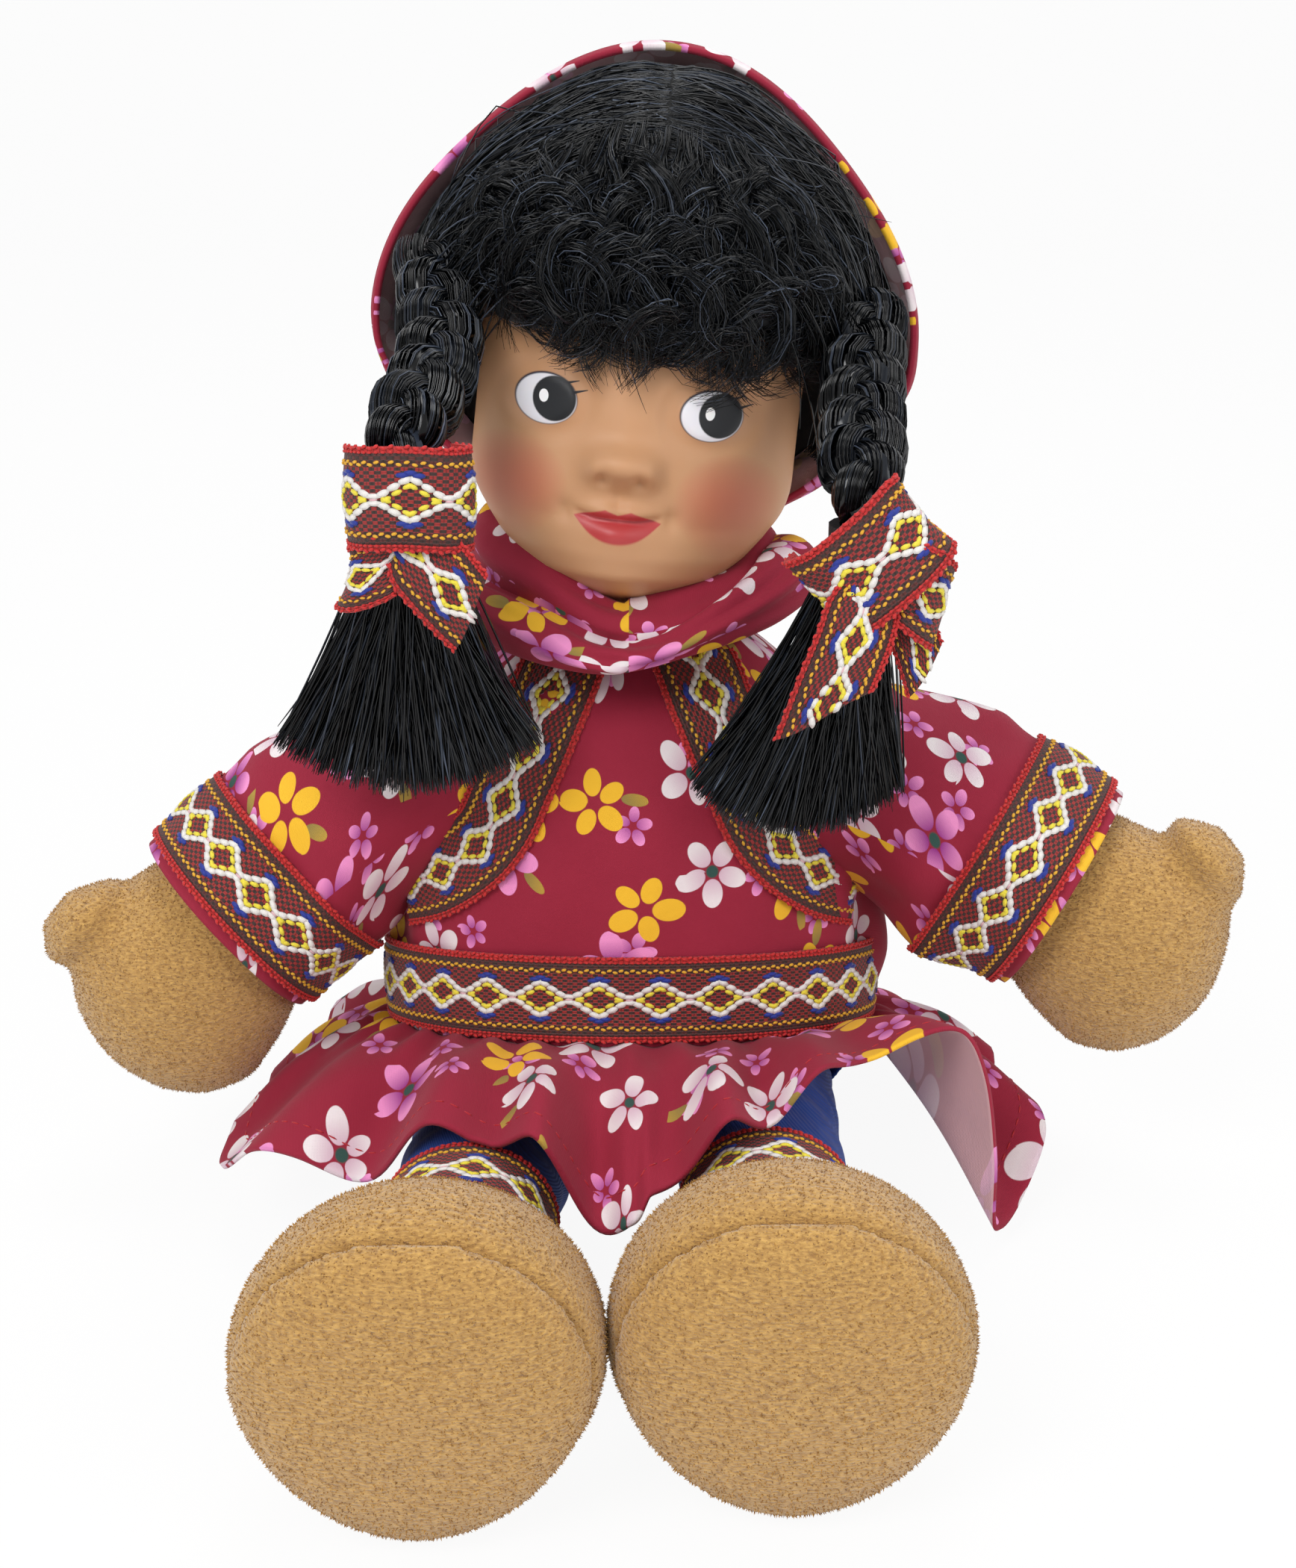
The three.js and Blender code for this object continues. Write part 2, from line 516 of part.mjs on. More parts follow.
// Legs: run forward from the hip, a little up to the middle of the big soft foot
function addLeg(side, name, reach) {
  const group = new THREE.Group();
  group.name = `leg_group_${name}`;
  group.position.copy(hip(side));
  doll.add(group);

  const footX = FEET_MIDDLE + (side * (FOOT_WIDTH + FEET_GAP)) / 2;
  const lean = (footX - hip(side).x) / (reach + FOOT_LENGTH);
  const axis = (y) => at(-y * lean, y, (LEG_RISE * -y) / reach);
  const radiusAt = (y) => LEG_RADIUS + ((ANKLE_RADIUS - LEG_RADIUS) * Math.max(-y, 0)) / reach;
  const roundY = (y, radius) => ring(24, (a) =>
    axis(y).add(at(radius * Math.cos(a), 0, radius * Math.sin(a))));

  // The hip end is a ball so that the leg can turn in the body
  const tip = [0.97, 0.86, 0.64, 0.34].map((share) => {
    const y = LEG_RADIUS * share;
    return ring(24, (a) => {
      const radius = LEG_RADIUS * Math.sqrt(1 - share * share);
      return at(radius * Math.cos(a), y, radius * Math.sin(a));
    });
  });
  const legRings = steps(2, (t) => roundY(-t * reach, radiusAt(-t * reach)));
  piece(group, `leg_${name}`, loft([...tip, ...legRings]), "plush");

  const hem = reach - 10;
  const trouser = (out) => steps(2, (t) => roundY(-t * hem, radiusAt(-t * hem) + GAP + out));
  piece(group, `trouser_leg_${name}`, hollow(trouser(CLOTH), trouser(0)), "trousers");

  const band = (out) => steps(1, (t) => {
    const y = -(hem - 1 - RIBBON_WIDTH * (1 - t));
    return roundY(y, radiusAt(y) + GAP + CLOTH + GAP + out);
  });
  piece(group, `ankle_ribbon_${name}`, hollow(band(RIBBON), band(0)), "ribbon");

  // Foot sections: share of length, half width, lower and upper edge above the floor
  const floor = -hipHeight;
  const ankleLow = LEG_RISE - ANKLE_RADIUS;
  const ankleHigh = LEG_RISE + ANKLE_RADIUS;
  const width = FOOT_WIDTH / 2;
  const bulge = SOLE_BULGE / FOOT_LENGTH;
  const footRows = [
    [0, ANKLE_RADIUS, ankleLow, ankleHigh],
    [0.2, width * 0.72, floor + FOOT_HEIGHT * 0.1, floor + FOOT_HEIGHT * 0.86],
    [0.45, width * 0.93, floor + FOOT_HEIGHT * 0.03, floor + FOOT_HEIGHT * 0.97],
    [0.75, width, floor + FOOT_HEIGHT * 0.004, floor + FOOT_HEIGHT],
    [1, width * 0.985, floor + FOOT_HEIGHT * 0.012, floor + FOOT_HEIGHT * 0.98],
    [1 + bulge * 0.5, width * 0.88, floor + FOOT_HEIGHT * 0.07, floor + FOOT_HEIGHT * 0.91],
    [1 + bulge * 0.85, width * 0.6, floor + FOOT_HEIGHT * 0.21, floor + FOOT_HEIGHT * 0.77],
    [1 + bulge, width * 0.2, floor + FOOT_HEIGHT * 0.4, floor + FOOT_HEIGHT * 0.6],
  ];
  const section = (share) => {
    const low = track(footRows, 2, share);
    const high = track(footRows, 3, share);
    const half = track(footRows, 1, share);
    const y = -reach - GAP - share * FOOT_LENGTH;
    const x = axis(y).x;
    return ring(24, (a) => {
      const narrow = 1 - 0.1 * Math.max(0, -Math.sin(a)) * Math.min(share, 1);
      return at(x + half * narrow * Math.cos(a), y, (low + high) / 2 + ((high - low) / 2) * Math.sin(a));
    });
  };
  piece(group, `foot_${name}`, loft(steps(6, (t) => section(t))), "plush");
  const seam = 1 + GAP / FOOT_LENGTH;
  piece(group, `sole_${name}`, loft(steps(4, (t) => section(seam + (1 + bulge - seam) * t))), "plush");
}
addLeg(-1, "right", LEG_REACH_RIGHT);
addLeg(1, "left", LEG_REACH_LEFT);

// Head: rows of share of height, half width share, then front and back as shares of depth
const HEAD_ROWS = [
  [0, 0.09, -0.59, -0.42],
  [0.045, 0.23, -0.645, -0.26],
  [0.125, 0.36, -0.675, -0.05],
  [0.24, 0.45, -0.685, 0.13],
  [0.38, 0.49, -0.685, 0.25],
  [0.54, 0.5, -0.675, 0.315],
  [0.7, 0.485, -0.63, 0.315],
  [0.84, 0.41, -0.53, 0.25],
  [0.945, 0.27, -0.38, 0.09],
  [1, 0.09, -0.21, -0.08],
];
const headGroup = new THREE.Group();
headGroup.name = "head_group";
doll.add(headGroup);
const chinHeight = BODY_HEIGHT + CHIN_RISE;
const crown = chinHeight + HEAD_HEIGHT;
const headMiddle = chinHeight + HEAD_HEIGHT * 0.55;
const headCentreY = -0.18 * HEAD_DEPTH;

function skull(offset, sides = 22, rows = 9) {
  return solid(loft(steps(rows, (t) => {
    const half = track(HEAD_ROWS, 1, t) * HEAD_WIDTH + offset;
    const front = track(HEAD_ROWS, 2, t) * HEAD_DEPTH - offset;
    const back = track(HEAD_ROWS, 3, t) * HEAD_DEPTH + offset;
    const height = chinHeight - offset + t * (HEAD_HEIGHT + 2 * offset);
    return ring(sides, (a) =>
      at(half * Math.sin(a), (front + back) / 2 - ((back - front) / 2) * Math.cos(a), height));
  })));
}

// Head pieces are drawn upright, then tipped on the neck
const headTurn = new THREE.Euler(radians(HEAD_PITCH), radians(HEAD_ROLL), 0);
const headTip = new THREE.Matrix4().makeTranslation(0, NECK_Y, BODY_HEIGHT)
  .multiply(new THREE.Matrix4().makeRotationFromEuler(headTurn))
  .multiply(new THREE.Matrix4().makeTranslation(HEAD_SHIFT, -NECK_Y, -BODY_HEIGHT));
const tipped = (shape) => geometryOf(shape).applyMatrix4(headTip);

const faceFront = -0.685 * HEAD_DEPTH;
const nose = ball([9.4, 5, 4.6], [0, faceFront - 0.6, chinHeight + HEAD_HEIGHT * 0.33], 16);
const lips = ball([10, 3.2, 3.6], [0, faceFront + 1.6, chinHeight + HEAD_HEIGHT * 0.165], 16);
const neckTop = chinHeight + HEAD_HEIGHT * 0.2;
const neck = drum(NECK_RADIUS, flangeHeight, neckTop)
  .add(drum(FLANGE_RADIUS, flangeHeight, flangeHeight + FLANGE));
const headShell = solid(tipped(skull(0).add(nose).add(lips))).add(neck)
  .subtract(solid(tipped(skull(-HEAD_WALL, 14, 6))))
  .subtract(drum(NECK_RADIUS - HEAD_WALL, flangeHeight - 1, neckTop + 12));
piece(headGroup, "head_shell", headShell, "vinyl");

// Hair: a cap over the skull with a window for the face, and a fringe that fills its top
const hairRadii = [HEAD_WIDTH / 2 + HAIR_SIDE, HEAD_DEPTH * 0.5 + 4, HEAD_HEIGHT * 0.45 + HAIR_RISE];
const hairBall = (grow) => ball(hairRadii.map((r) => r + grow), [0, headCentreY, headMiddle], 20);
function faceWindow(inset) {
  const shape = new THREE.Shape();
  const half = HEAD_WIDTH * 0.47 - inset;
  const shoulderLine = chinHeight + HEAD_HEIGHT * 0.55;
  const top = chinHeight + HEAD_HEIGHT * 0.9 - inset;
  shape.moveTo(-half, chinHeight - 30);
  shape.lineTo(half, chinHeight - 30);
  shape.lineTo(half, shoulderLine);
  shape.bezierCurveTo(half, top - 6, half * 0.5, top, 0, top);
  shape.bezierCurveTo(-half * 0.5, top, -half, top - 6, -half, shoulderLine);
  const depth = HEAD_DEPTH * 0.55;
  const block = new THREE.ExtrudeGeometry(shape, { depth, bevelEnabled: false, curveSegments: 5 });
  return solid(block.rotateX(Math.PI / 2).translate(0, headCentreY - inset - 14, 0));
}
const hairFloor = chinHeight + HEAD_HEIGHT * 0.22;
const clearHead = skull(GAP).add(nose);
const belowHair = block([-HEAD_WIDTH, -HEAD_DEPTH, 0], [HEAD_WIDTH, HEAD_DEPTH, hairFloor]);
const hairShell = hairBall(0).subtract(belowHair).subtract(clearHead).subtract(faceWindow(0));

function fringeEdge() {
  const shape = new THREE.Shape();
  const low = crown - FRINGE_DROP;
  const half = HEAD_WIDTH;
  shape.moveTo(-half, crown + 40);
  const edge = steps(12, (t) => {
    const x = (t * 2 - 1) * half;
    return [x, low + 3 * Math.sin(x * 0.28) - 8 * (x / half) ** 2];
  });
  for (const [x, z] of edge) shape.lineTo(x, z);
  shape.lineTo(half, crown + 40);
  return solid(new THREE.ExtrudeGeometry(shape, { depth: HEAD_DEPTH * 2, bevelEnabled: false })
    .rotateX(Math.PI / 2).translate(0, HEAD_DEPTH, 0));
}
const fringeShell = hairBall(1.5).intersect(faceWindow(GAP)).intersect(fringeEdge()).subtract(clearHead);

// Hood: half a dome over the hair, open at the face and round the neck
const hoodGrid = (offset) => steps(16, (u) => {
  const a = (u * 2 - 1) * radians(142);
  return steps(6, (v) => {
    const b = v * radians(86);
    const side = HEAD_WIDTH / 2 + HOOD_SIDE + offset;
    const rise = hairRadii[2] + 3 * GAP + offset;
    const fall = HEAD_HEIGHT * 0.5;
    const up = Math.cos(a) > 0 ? rise : fall;
    const draw = Math.cos(b) * (1 - HOOD_PEAK * Math.sin(2 * a) ** 2);
    return at(
      side * Math.sin(a) * draw,
      headCentreY + (hairRadii[1] + GAP + 4 + offset) * Math.sin(b),
      headMiddle + up * Math.cos(a) * draw,
    );
  });
});
const hoodOuter = hoodGrid(CLOTH);
const hoodInner = hoodGrid(0);
const hood = loft(hoodOuter.map((row, r) => [...row, ...[...hoodInner[r]].reverse()]));
piece(headGroup, "hood", hood.applyMatrix4(headTip), "print");

// Scarf ends wound under the chin: round about the neck axis so that the head can turn
const scarfProfile = [
  [-27, 2], [-16, 1], [-7, -2], [-1, 0], [0, 4], [-3, 9], [-6, 10.5],
  [-3.5, 12], [-4, 17], [-9, 21], [-20, 22], [-27, 17], [-27, 2],
].map(([out, up]) => [SCARF_RADIUS + out, BODY_HEIGHT + up]);
const scarf = solid(lathed(scarfProfile, 24).translate(0, NECK_Y, 0))
  .subtract(solid(tipped(skull(GAP))))
  .subtract(drum(collarRadius + 2 * GAP + TIE, BODY_HEIGHT / 2, crown));
piece(headGroup, "scarf", scarf, "print");

// Braids: each turns on a ball end let into the hair, and carries a band, a bow and a tassel
const hangY = bodyPoint(0, SHOULDER_HEIGHT + SLEEVE_RADIUS, trimOutside).y - BRAID_CLEAR;
const hairPoint = (around, up) => at(
  hairRadii[0] * Math.sin(radians(around)) * Math.cos(radians(up)),
  headCentreY - hairRadii[1] * Math.cos(radians(around)) * Math.cos(radians(up)),
  headMiddle + hairRadii[2] * Math.sin(radians(up)),
);
let hairCap = solid(tipped(hairShell));
let fringe = solid(tipped(fringeShell));

function addBraid(side, name, { bulge, drop, spread, bowTurn, tasselWidth, lean }) {
  const root = hairPoint(side * BRAID_ROOT_TURN, BRAID_ROOT_RISE)
    .add(at(side * BRAID_ROOT_OUT, 0, 0))
    .applyMatrix4(headTip);
  const room = BRAID_RADIUS + SWING_GAP;
  const socket = ball([room, room, room], root.toArray(), 14);
  hairCap = hairCap.subtract(socket);
  fringe = fringe.subtract(socket);
  const group = new THREE.Group();
  group.position.copy(root);
  headGroup.add(group);

  const end = at(side * spread - root.x, hangY - root.y, -drop);
  const middle = end.clone().multiplyScalar(0.45).add(at(side * bulge, -6, 0));
  const above = end.clone().add(at(0, 0, BRAID_RADIUS));
  const curve = new THREE.CatmullRomCurve3([at(0, 0, 0), middle, above, end]);
  const length = curve.getLength();
  const lobes = Math.round(length / (BRAID_RADIUS * 1.4));
  const section = (centre, along, radius) => {
    const across = at(1, 0, 0).addScaledVector(along, -along.x).normalize();
    const front = along.clone().cross(across);
    return ring(10, (a) => centre.clone()
      .addScaledVector(across, radius * Math.cos(a))
      .addScaledVector(front, radius * Math.sin(a)));
  };
  const start = curve.getTangent(0);
  const ballEnd = [0.95, 0.72, 0.36].map((share) => {
    const centre = start.clone().multiplyScalar(-BRAID_RADIUS * share);
    return section(centre, start, BRAID_RADIUS * Math.sqrt(1 - share ** 2));
  });
  const plait = steps(lobes * 3, (t) => {
    const swell = 0.88 + 0.12 * Math.cos(t * lobes * 2 * Math.PI);
    const taper = 1 - 0.45 * Math.max(0, t - 0.85) / 0.15;
    const place = t * (1 - (5 * GAP) / length);
    return section(curve.getPoint(place), curve.getTangent(place), BRAID_RADIUS * swell * taper);
  });
  piece(group, `braid_${name}`, loft([...ballEnd, ...plait]), "hair");

  const tail = new THREE.Group();
  tail.position.copy(end);
  group.add(tail);
  const bandRadius = BRAID_RADIUS * 0.78;
  const bandProfile = [[-2.8, 0], [0, 0], [0, BAND_WIDTH], [-2.8, BAND_WIDTH], [-2.8, 0]]
    .map(([out, up]) => [bandRadius + out, up - BAND_WIDTH]);
  piece(tail, `hair_elastic_${name}`, lathed(bandProfile, 14), "tie");

  // Tassel: a fan of loose ends with fluted sides
  const tasselTop = -BAND_WIDTH - GAP;
  const tassel = steps(4, (t) => {
    const wide = bandRadius + (tasselWidth / 2 - bandRadius) * t ** 1.25;
    const deep = bandRadius + (TASSEL_DEPTH / 2 - bandRadius) * t;
    return ring(27, (a) => {
      const flute = 1 + 0.05 * t * Math.cos(9 * a);
      const lift = TASSEL_LENGTH * 0.15 * (t * Math.cos(a)) ** 2;
      const fall = TASSEL_LENGTH * t;
      const sway = fall * Math.tan(radians(lean));
      return at(wide * flute * Math.cos(a) - sway, deep * flute * Math.sin(a), tasselTop - fall + lift);
    });
  });
  piece(tail, `tassel_${name}`, loft(tassel), "hair");

  // Bow: two loops, a knot and two tails, tied on the front of the band
  const bow = new THREE.Group();
  bow.position.set(0, -bandRadius - KNOT_DEPTH - GAP, -BAND_WIDTH / 2);
  bow.rotation.y = radians(bowTurn);
  tail.add(bow);
  const half = BOW_SPAN / 2;
  const inner = half - RIBBON * 1.3;
  const fat = KNOT_DEPTH;
  const loop = new THREE.Shape();
  loop.moveTo(0, -2);
  loop.bezierCurveTo(half * 0.5, -fat, half, -fat, half, 0);
  loop.bezierCurveTo(half, fat, half * 0.5, fat, 0, 2);
  const hole = new THREE.Path();
  hole.moveTo(fat + 2, -1);
  hole.bezierCurveTo(half * 0.55, RIBBON - fat, inner, RIBBON - fat, inner, 0);
  hole.bezierCurveTo(inner, fat - RIBBON, half * 0.55, fat - RIBBON, fat + 2, 1);
  loop.holes.push(hole);
  const loopDepth = { depth: RIBBON_WIDTH, bevelEnabled: false, curveSegments: 3 };
  const loopAt = (turn) => solid(new THREE.ExtrudeGeometry(loop, loopDepth)
    .translate(0, 0, -RIBBON_WIDTH / 2).rotateZ(turn));
  const tailAt = (turn, reach) => solid(slab(steps(3, (t) => steps(1, (u) => {
    const across = (u - 0.5) * RIBBON_WIDTH * (0.5 + 0.5 * t);
    const down = reach * t;
    return at(
      across * Math.cos(turn) + down * Math.sin(turn),
      fat * (0.55 - 0.5 * t),
      across * Math.sin(turn) - down * Math.cos(turn),
    );
  })), RIBBON));
  const knot = ball([KNOT_DEPTH, KNOT_DEPTH, RIBBON_WIDTH * 0.4], [0, 0, 0], 10);
  const whole = loopAt(0).add(loopAt(Math.PI)).add(knot)
    .add(tailAt(radians(-28), BOW_TAIL)).add(tailAt(radians(24), BOW_TAIL * 0.85));
  piece(bow, `ribbon_bow_${name}`, whole, "ribbon");
}
addBraid(-1, "right", {
  bulge: 2.5,
  drop: BRAID_DROP_RIGHT,
  spread: BRAID_SPREAD_RIGHT,
  bowTurn: 12,
  tasselWidth: TASSEL_WIDTH_RIGHT,
  lean: TASSEL_LEAN_RIGHT,
});
addBraid(1, "left", {
  bulge: 6,
  drop: BRAID_DROP_LEFT,
  spread: BRAID_SPREAD_LEFT,
  bowTurn: -20,
  tasselWidth: TASSEL_WIDTH_LEFT,
  lean: TASSEL_LEAN_LEFT,
});
piece(headGroup, "hair_cap", hairCap, "hair");
piece(headGroup, "fringe", fringe, "hair");

export default doll;
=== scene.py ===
"""Looks of a seated costume doll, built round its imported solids. Metres, +Z up, the doll faces -Y."""
import json
import math
from contextlib import contextmanager

import bmesh
import bpy
import numpy as np
from mathutils import Matrix, Vector
from mathutils.bvhtree import BVHTree


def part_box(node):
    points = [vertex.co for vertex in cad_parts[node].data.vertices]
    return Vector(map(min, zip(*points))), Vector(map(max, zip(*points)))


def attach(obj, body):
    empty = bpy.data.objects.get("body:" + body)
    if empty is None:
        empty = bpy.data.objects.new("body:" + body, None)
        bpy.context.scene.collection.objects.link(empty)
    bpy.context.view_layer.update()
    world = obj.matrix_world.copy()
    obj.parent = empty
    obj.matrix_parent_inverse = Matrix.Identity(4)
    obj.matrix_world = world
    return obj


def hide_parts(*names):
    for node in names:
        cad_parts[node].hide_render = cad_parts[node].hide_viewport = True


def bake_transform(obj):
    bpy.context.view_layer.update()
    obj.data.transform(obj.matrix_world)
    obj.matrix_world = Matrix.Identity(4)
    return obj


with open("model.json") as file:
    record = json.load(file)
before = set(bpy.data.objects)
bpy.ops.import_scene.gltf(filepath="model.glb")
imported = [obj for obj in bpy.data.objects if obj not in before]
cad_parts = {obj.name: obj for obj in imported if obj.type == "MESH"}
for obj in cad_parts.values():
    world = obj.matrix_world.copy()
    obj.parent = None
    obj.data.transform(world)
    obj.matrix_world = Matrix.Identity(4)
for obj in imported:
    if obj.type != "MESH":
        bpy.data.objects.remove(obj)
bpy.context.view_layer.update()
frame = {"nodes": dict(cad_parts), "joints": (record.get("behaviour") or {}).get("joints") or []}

MM = 0.001
TURN = 2 * math.pi
RIGHT, LEFT = "right", "left"
SIDE = {RIGHT: -1, LEFT: 1}
JOINT = {joint["name"]: np.array(joint["pos_m"]) for joint in frame["joints"]}
random = np.random.default_rng(11)

# Camera of the photograph
CAMERA_TARGET = np.array([5, -68, 129.05]) * MM
CAMERA_DISTANCE = 585 * MM
CAMERA_ELEVATION = 22
CAMERA_LENS = 50

# Cloth, ribbon and thread
CLOTH = 1.2 * MM
RIBBON_WIDTH = 25 * MM
RIBBON_THICK = 0.9 * MM
RIBBON_REPEAT = 15.2 * MM
RIBBON_ROWS = 11
THREAD_RISE, THREAD_HEIGHT = 0.12 * MM, 0.85
HEM = 8 * MM

# Middle of the trunk from front to back, a point inside the chest and one below the skirt
TRUNK_Y = -30 * MM
CHEST = (0, TRUNK_Y, 100 * MM)
BELOW_SKIRT = (0, TRUNK_Y, -300 * MM)

# Tilt of the head on its neck, in degrees, the point that it tilts about, its shift aside and
# a point inside it
HEAD_PITCH, HEAD_ROLL = -6, 6
HEAD_PIVOT = np.array([0, -24, 166]) * MM
HEAD_SHIFT = -3.5 * MM
HEAD_MIDDLE = np.array([0, -20, 235]) * MM

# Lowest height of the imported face, and how far the front of the chin hangs below it
CHIN = 178 * MM
CHIN_DROP = 14.5 * MM


# Small numeric tools

def smooth(low, high, value):
    """An eased step from 0 at low to 1 at high."""
    t = np.clip((value - low) / (high - low), 0, 1)
    return t * t * (3 - 2 * t)


def unit(vectors):
    vectors = np.asarray(vectors, float)
    return vectors / np.maximum(np.linalg.norm(vectors, axis=-1, keepdims=True), 1e-12)


def hump(value, centre, width):
    """A bell of unit height round the centre."""
    return np.exp(-((value - centre) / width) ** 2)


def circle(count, start=0):
    """Angles of evenly spaced points round a full turn."""
    return np.linspace(start, start + TURN, count + 1)[:-1]


def wrapped(values):
    """Repeats the first column of a closed grid after its last."""
    return np.concatenate([values, values[:, :1]], 1)


def curve_through(knots, count):
    """Evenly counted points on a smooth curve through the knots."""
    knots = np.asarray(knots, float)
    last = len(knots) - 1
    place = np.linspace(0, last, count)
    index = np.minimum(place.astype(int), last - 1)
    t = (place - index)[:, None]
    before, start, end, after = (knots[np.clip(index + step, 0, last)] for step in (-1, 0, 1, 2))
    return 0.5 * (2 * start + (end - before) * t
                  + (2 * before - 5 * start + 4 * end - after) * t ** 2
                  + (3 * start - before - 3 * end + after) * t ** 3)


def ripples(points, wavelength, seed):
    """Smooth noise of about unit height, from waves in seeded directions."""
    waves = 14
    source = np.random.default_rng(seed)
    points = np.asarray(points, float)
    pull = unit(source.normal(size=(waves, points.shape[-1])))
    pull *= (TURN / wavelength) * source.uniform(0.6, 1.5, (waves, 1))
    return np.sin(points @ pull.T + source.uniform(0, 6.28, waves)).sum(-1) / math.sqrt(waves)


def moved(points, matrix):
    """Points after the turn and shift that a matrix gives."""
    matrix = np.array(matrix)
    return np.asarray(points) @ matrix[:3, :3].T + matrix[:3, 3]


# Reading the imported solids

RAY_REACH = 0.4


def node_points(node):
    """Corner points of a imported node."""
    mesh = frame["nodes"][node].data
    points = np.zeros(len(mesh.vertices) * 3)
    mesh.vertices.foreach_get("co", points)
    return points.reshape(-1, 3)


class Solid:
    """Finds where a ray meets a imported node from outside, in a frame of the caller's."""

    def __init__(self, node, place=Matrix()):
        mesh = frame["nodes"][node].data
        points = moved(node_points(node), place.inverted())
        self.tree = BVHTree.FromPolygons(points.tolist(), [list(f.vertices) for f in mesh.polygons])

    def outermost(self, start, direction):
        far = Vector(start) + Vector(direction) * RAY_REACH
        hit = self.tree.ray_cast(far, -Vector(direction), RAY_REACH)[0]
        return np.array(hit) if hit is not None else None


class Column:
    """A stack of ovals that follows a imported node: half width, front and back at any height."""

    def __init__(self, solid, middle_y, heights, turns_at):
        rows = []
        for height in heights:
            turns = np.radians(turns_at(height))
            hits = [solid.outermost((0, middle_y, height), (math.sin(t), -math.cos(t), 0)) for t in turns]
            hits = np.array([h for h in hits if h is not None])
            x, y = hits[:, 0], hits[:, 1] - middle_y
            a, b, c = np.linalg.lstsq(np.stack([x * x, y * y, y], 1), np.ones(len(x)), rcond=None)[0]
            middle = -c / (2 * b)
            depth = math.sqrt(1 / b + middle ** 2)
            half = math.sqrt((1 + b * middle ** 2) / a)
            rows.append((height, half, middle_y + middle - depth, middle_y + middle + depth))
        self.heights, *columns = np.array(rows).T
        kernel = np.array([1, 2, 3, 2, 1]) / 9
        padded = [np.pad(column, 2, mode="reflect", reflect_type="odd") for column in columns]
        self.sizes = [np.convolve(column, kernel, "valid") for column in padded]

    def oval(self, height):
        """Half width, front and back."""
        return [np.interp(height, self.heights, size) for size in self.sizes]

    def point(self, turn, height, offset=0.0):
        """Turn 0 is the front, and a positive turn goes to the doll's left."""
        turn, height = np.broadcast_arrays(turn, height)
        half, front, back = self.oval(height)
        middle, depth = (front + back) / 2, (back - front) / 2
        x = (half + offset) * np.sin(turn)
        y = middle - (depth + offset) * np.cos(turn)
        return np.stack([x, y, height + 0 * x], -1)

    def side_at(self, y, height):
        half, front, back = self.oval(height)
        share = (y - (front + back) / 2) / ((back - front) / 2)
        return half * np.sqrt(np.clip(1 - share ** 2, 0, 1))


# Grids of points and the meshes made from them

class Surface:
    """A grid of points with a place, a normal and directions at any share of its rows and columns."""

    def __init__(self, points, inside, wrap=False):
        self.points = np.asarray(points, float)
        self.wrap = wrap
        if wrap:
            self.points = wrapped(self.points)
        down, along = np.gradient(self.points, axis=(0, 1))
        if wrap:
            ends = (self.points[:, 1] - self.points[:, -2]) / 2
            along[:, 0] = along[:, -1] = ends
        normals = unit(np.cross(along, down))
        outward = self.points - np.asarray(inside, float)
        self.turned = (normals * outward).sum() < 0
        self.normals = -normals if self.turned else normals
        self.along, self.down = unit(along), unit(down)

    def lifted(self, distance):
        other = object.__new__(Surface)
        other.__dict__.update(self.__dict__)
        lift = np.asarray(distance)
        other.points = self.points + self.normals * (lift[..., None] if lift.ndim else lift)
        return other

    def at(self, row, column, grid=None):
        grid = self.points if grid is None else grid
        r = np.clip(np.asarray(row, float), 0, 1) * (grid.shape[0] - 1)
        c = np.clip(np.asarray(column, float), 0, 1) * (grid.shape[1] - 1)
        i = np.minimum(r.astype(int), grid.shape[0] - 2)
        j = np.minimum(c.astype(int), grid.shape[1] - 2)
        r, c = (r - i)[..., None], (c - j)[..., None]
        top = grid[i, j] * (1 - c) + grid[i, j + 1] * c
        low = grid[i + 1, j] * (1 - c) + grid[i + 1, j + 1] * c
        return top * (1 - r) + low * r

    def frame_at(self, row, column):
        return [self.at(row, column, grid) for grid in (self.points, self.along, self.down, self.normals)]

    def spans(self):
        """Distance from the first column and from the first row, at every point."""
        run = np.linalg.norm(np.diff(self.points, axis=1), axis=-1)
        fall = np.linalg.norm(np.diff(self.points, axis=0), axis=-1)
        across = np.pad(np.cumsum(run, 1), ((0, 0), (1, 0)))
        return across, np.pad(np.cumsum(fall, 0), ((1, 0), (0, 0)))

    def area(self):
        a = self.points[1:, 1:] - self.points[:-1, :-1]
        b = self.points[1:, :-1] - self.points[:-1, 1:]
        return float(np.linalg.norm(np.cross(a, b), axis=-1).sum() / 2)


def show(name, mesh, *materials):
    """Puts a mesh in the scene as a piece."""
    piece = bpy.data.objects.new(name, mesh)
    for material in materials:
        mesh.materials.append(material)
    bpy.context.scene.collection.objects.link(piece)
    return piece


def grid_mesh(name, surface, uv=None, uv_name="cloth"):
    """The surface's grid as quads that face outwards, with a UV map where places are given."""
    rows, columns = surface.points.shape[:2]
    index = np.arange(rows * columns).reshape(rows, columns)
    quads = np.stack([index[:-1, :-1], index[1:, :-1], index[1:, 1:], index[:-1, 1:]], -1).reshape(-1, 4)
    if not surface.turned:
        quads = quads[:, ::-1]
    mesh = bpy.data.meshes.new(name)
    mesh.from_pydata(surface.points.reshape(-1, 3).tolist(), [], quads.tolist())
    if uv is not None:
        layer = mesh.uv_layers.new(name=uv_name)
        layer.data.foreach_set("uv", uv.reshape(-1, 2)[quads.ravel()].astype(np.float32).ravel())
    if surface.wrap:
        weld(mesh)
    mesh.shade_smooth()
    return mesh


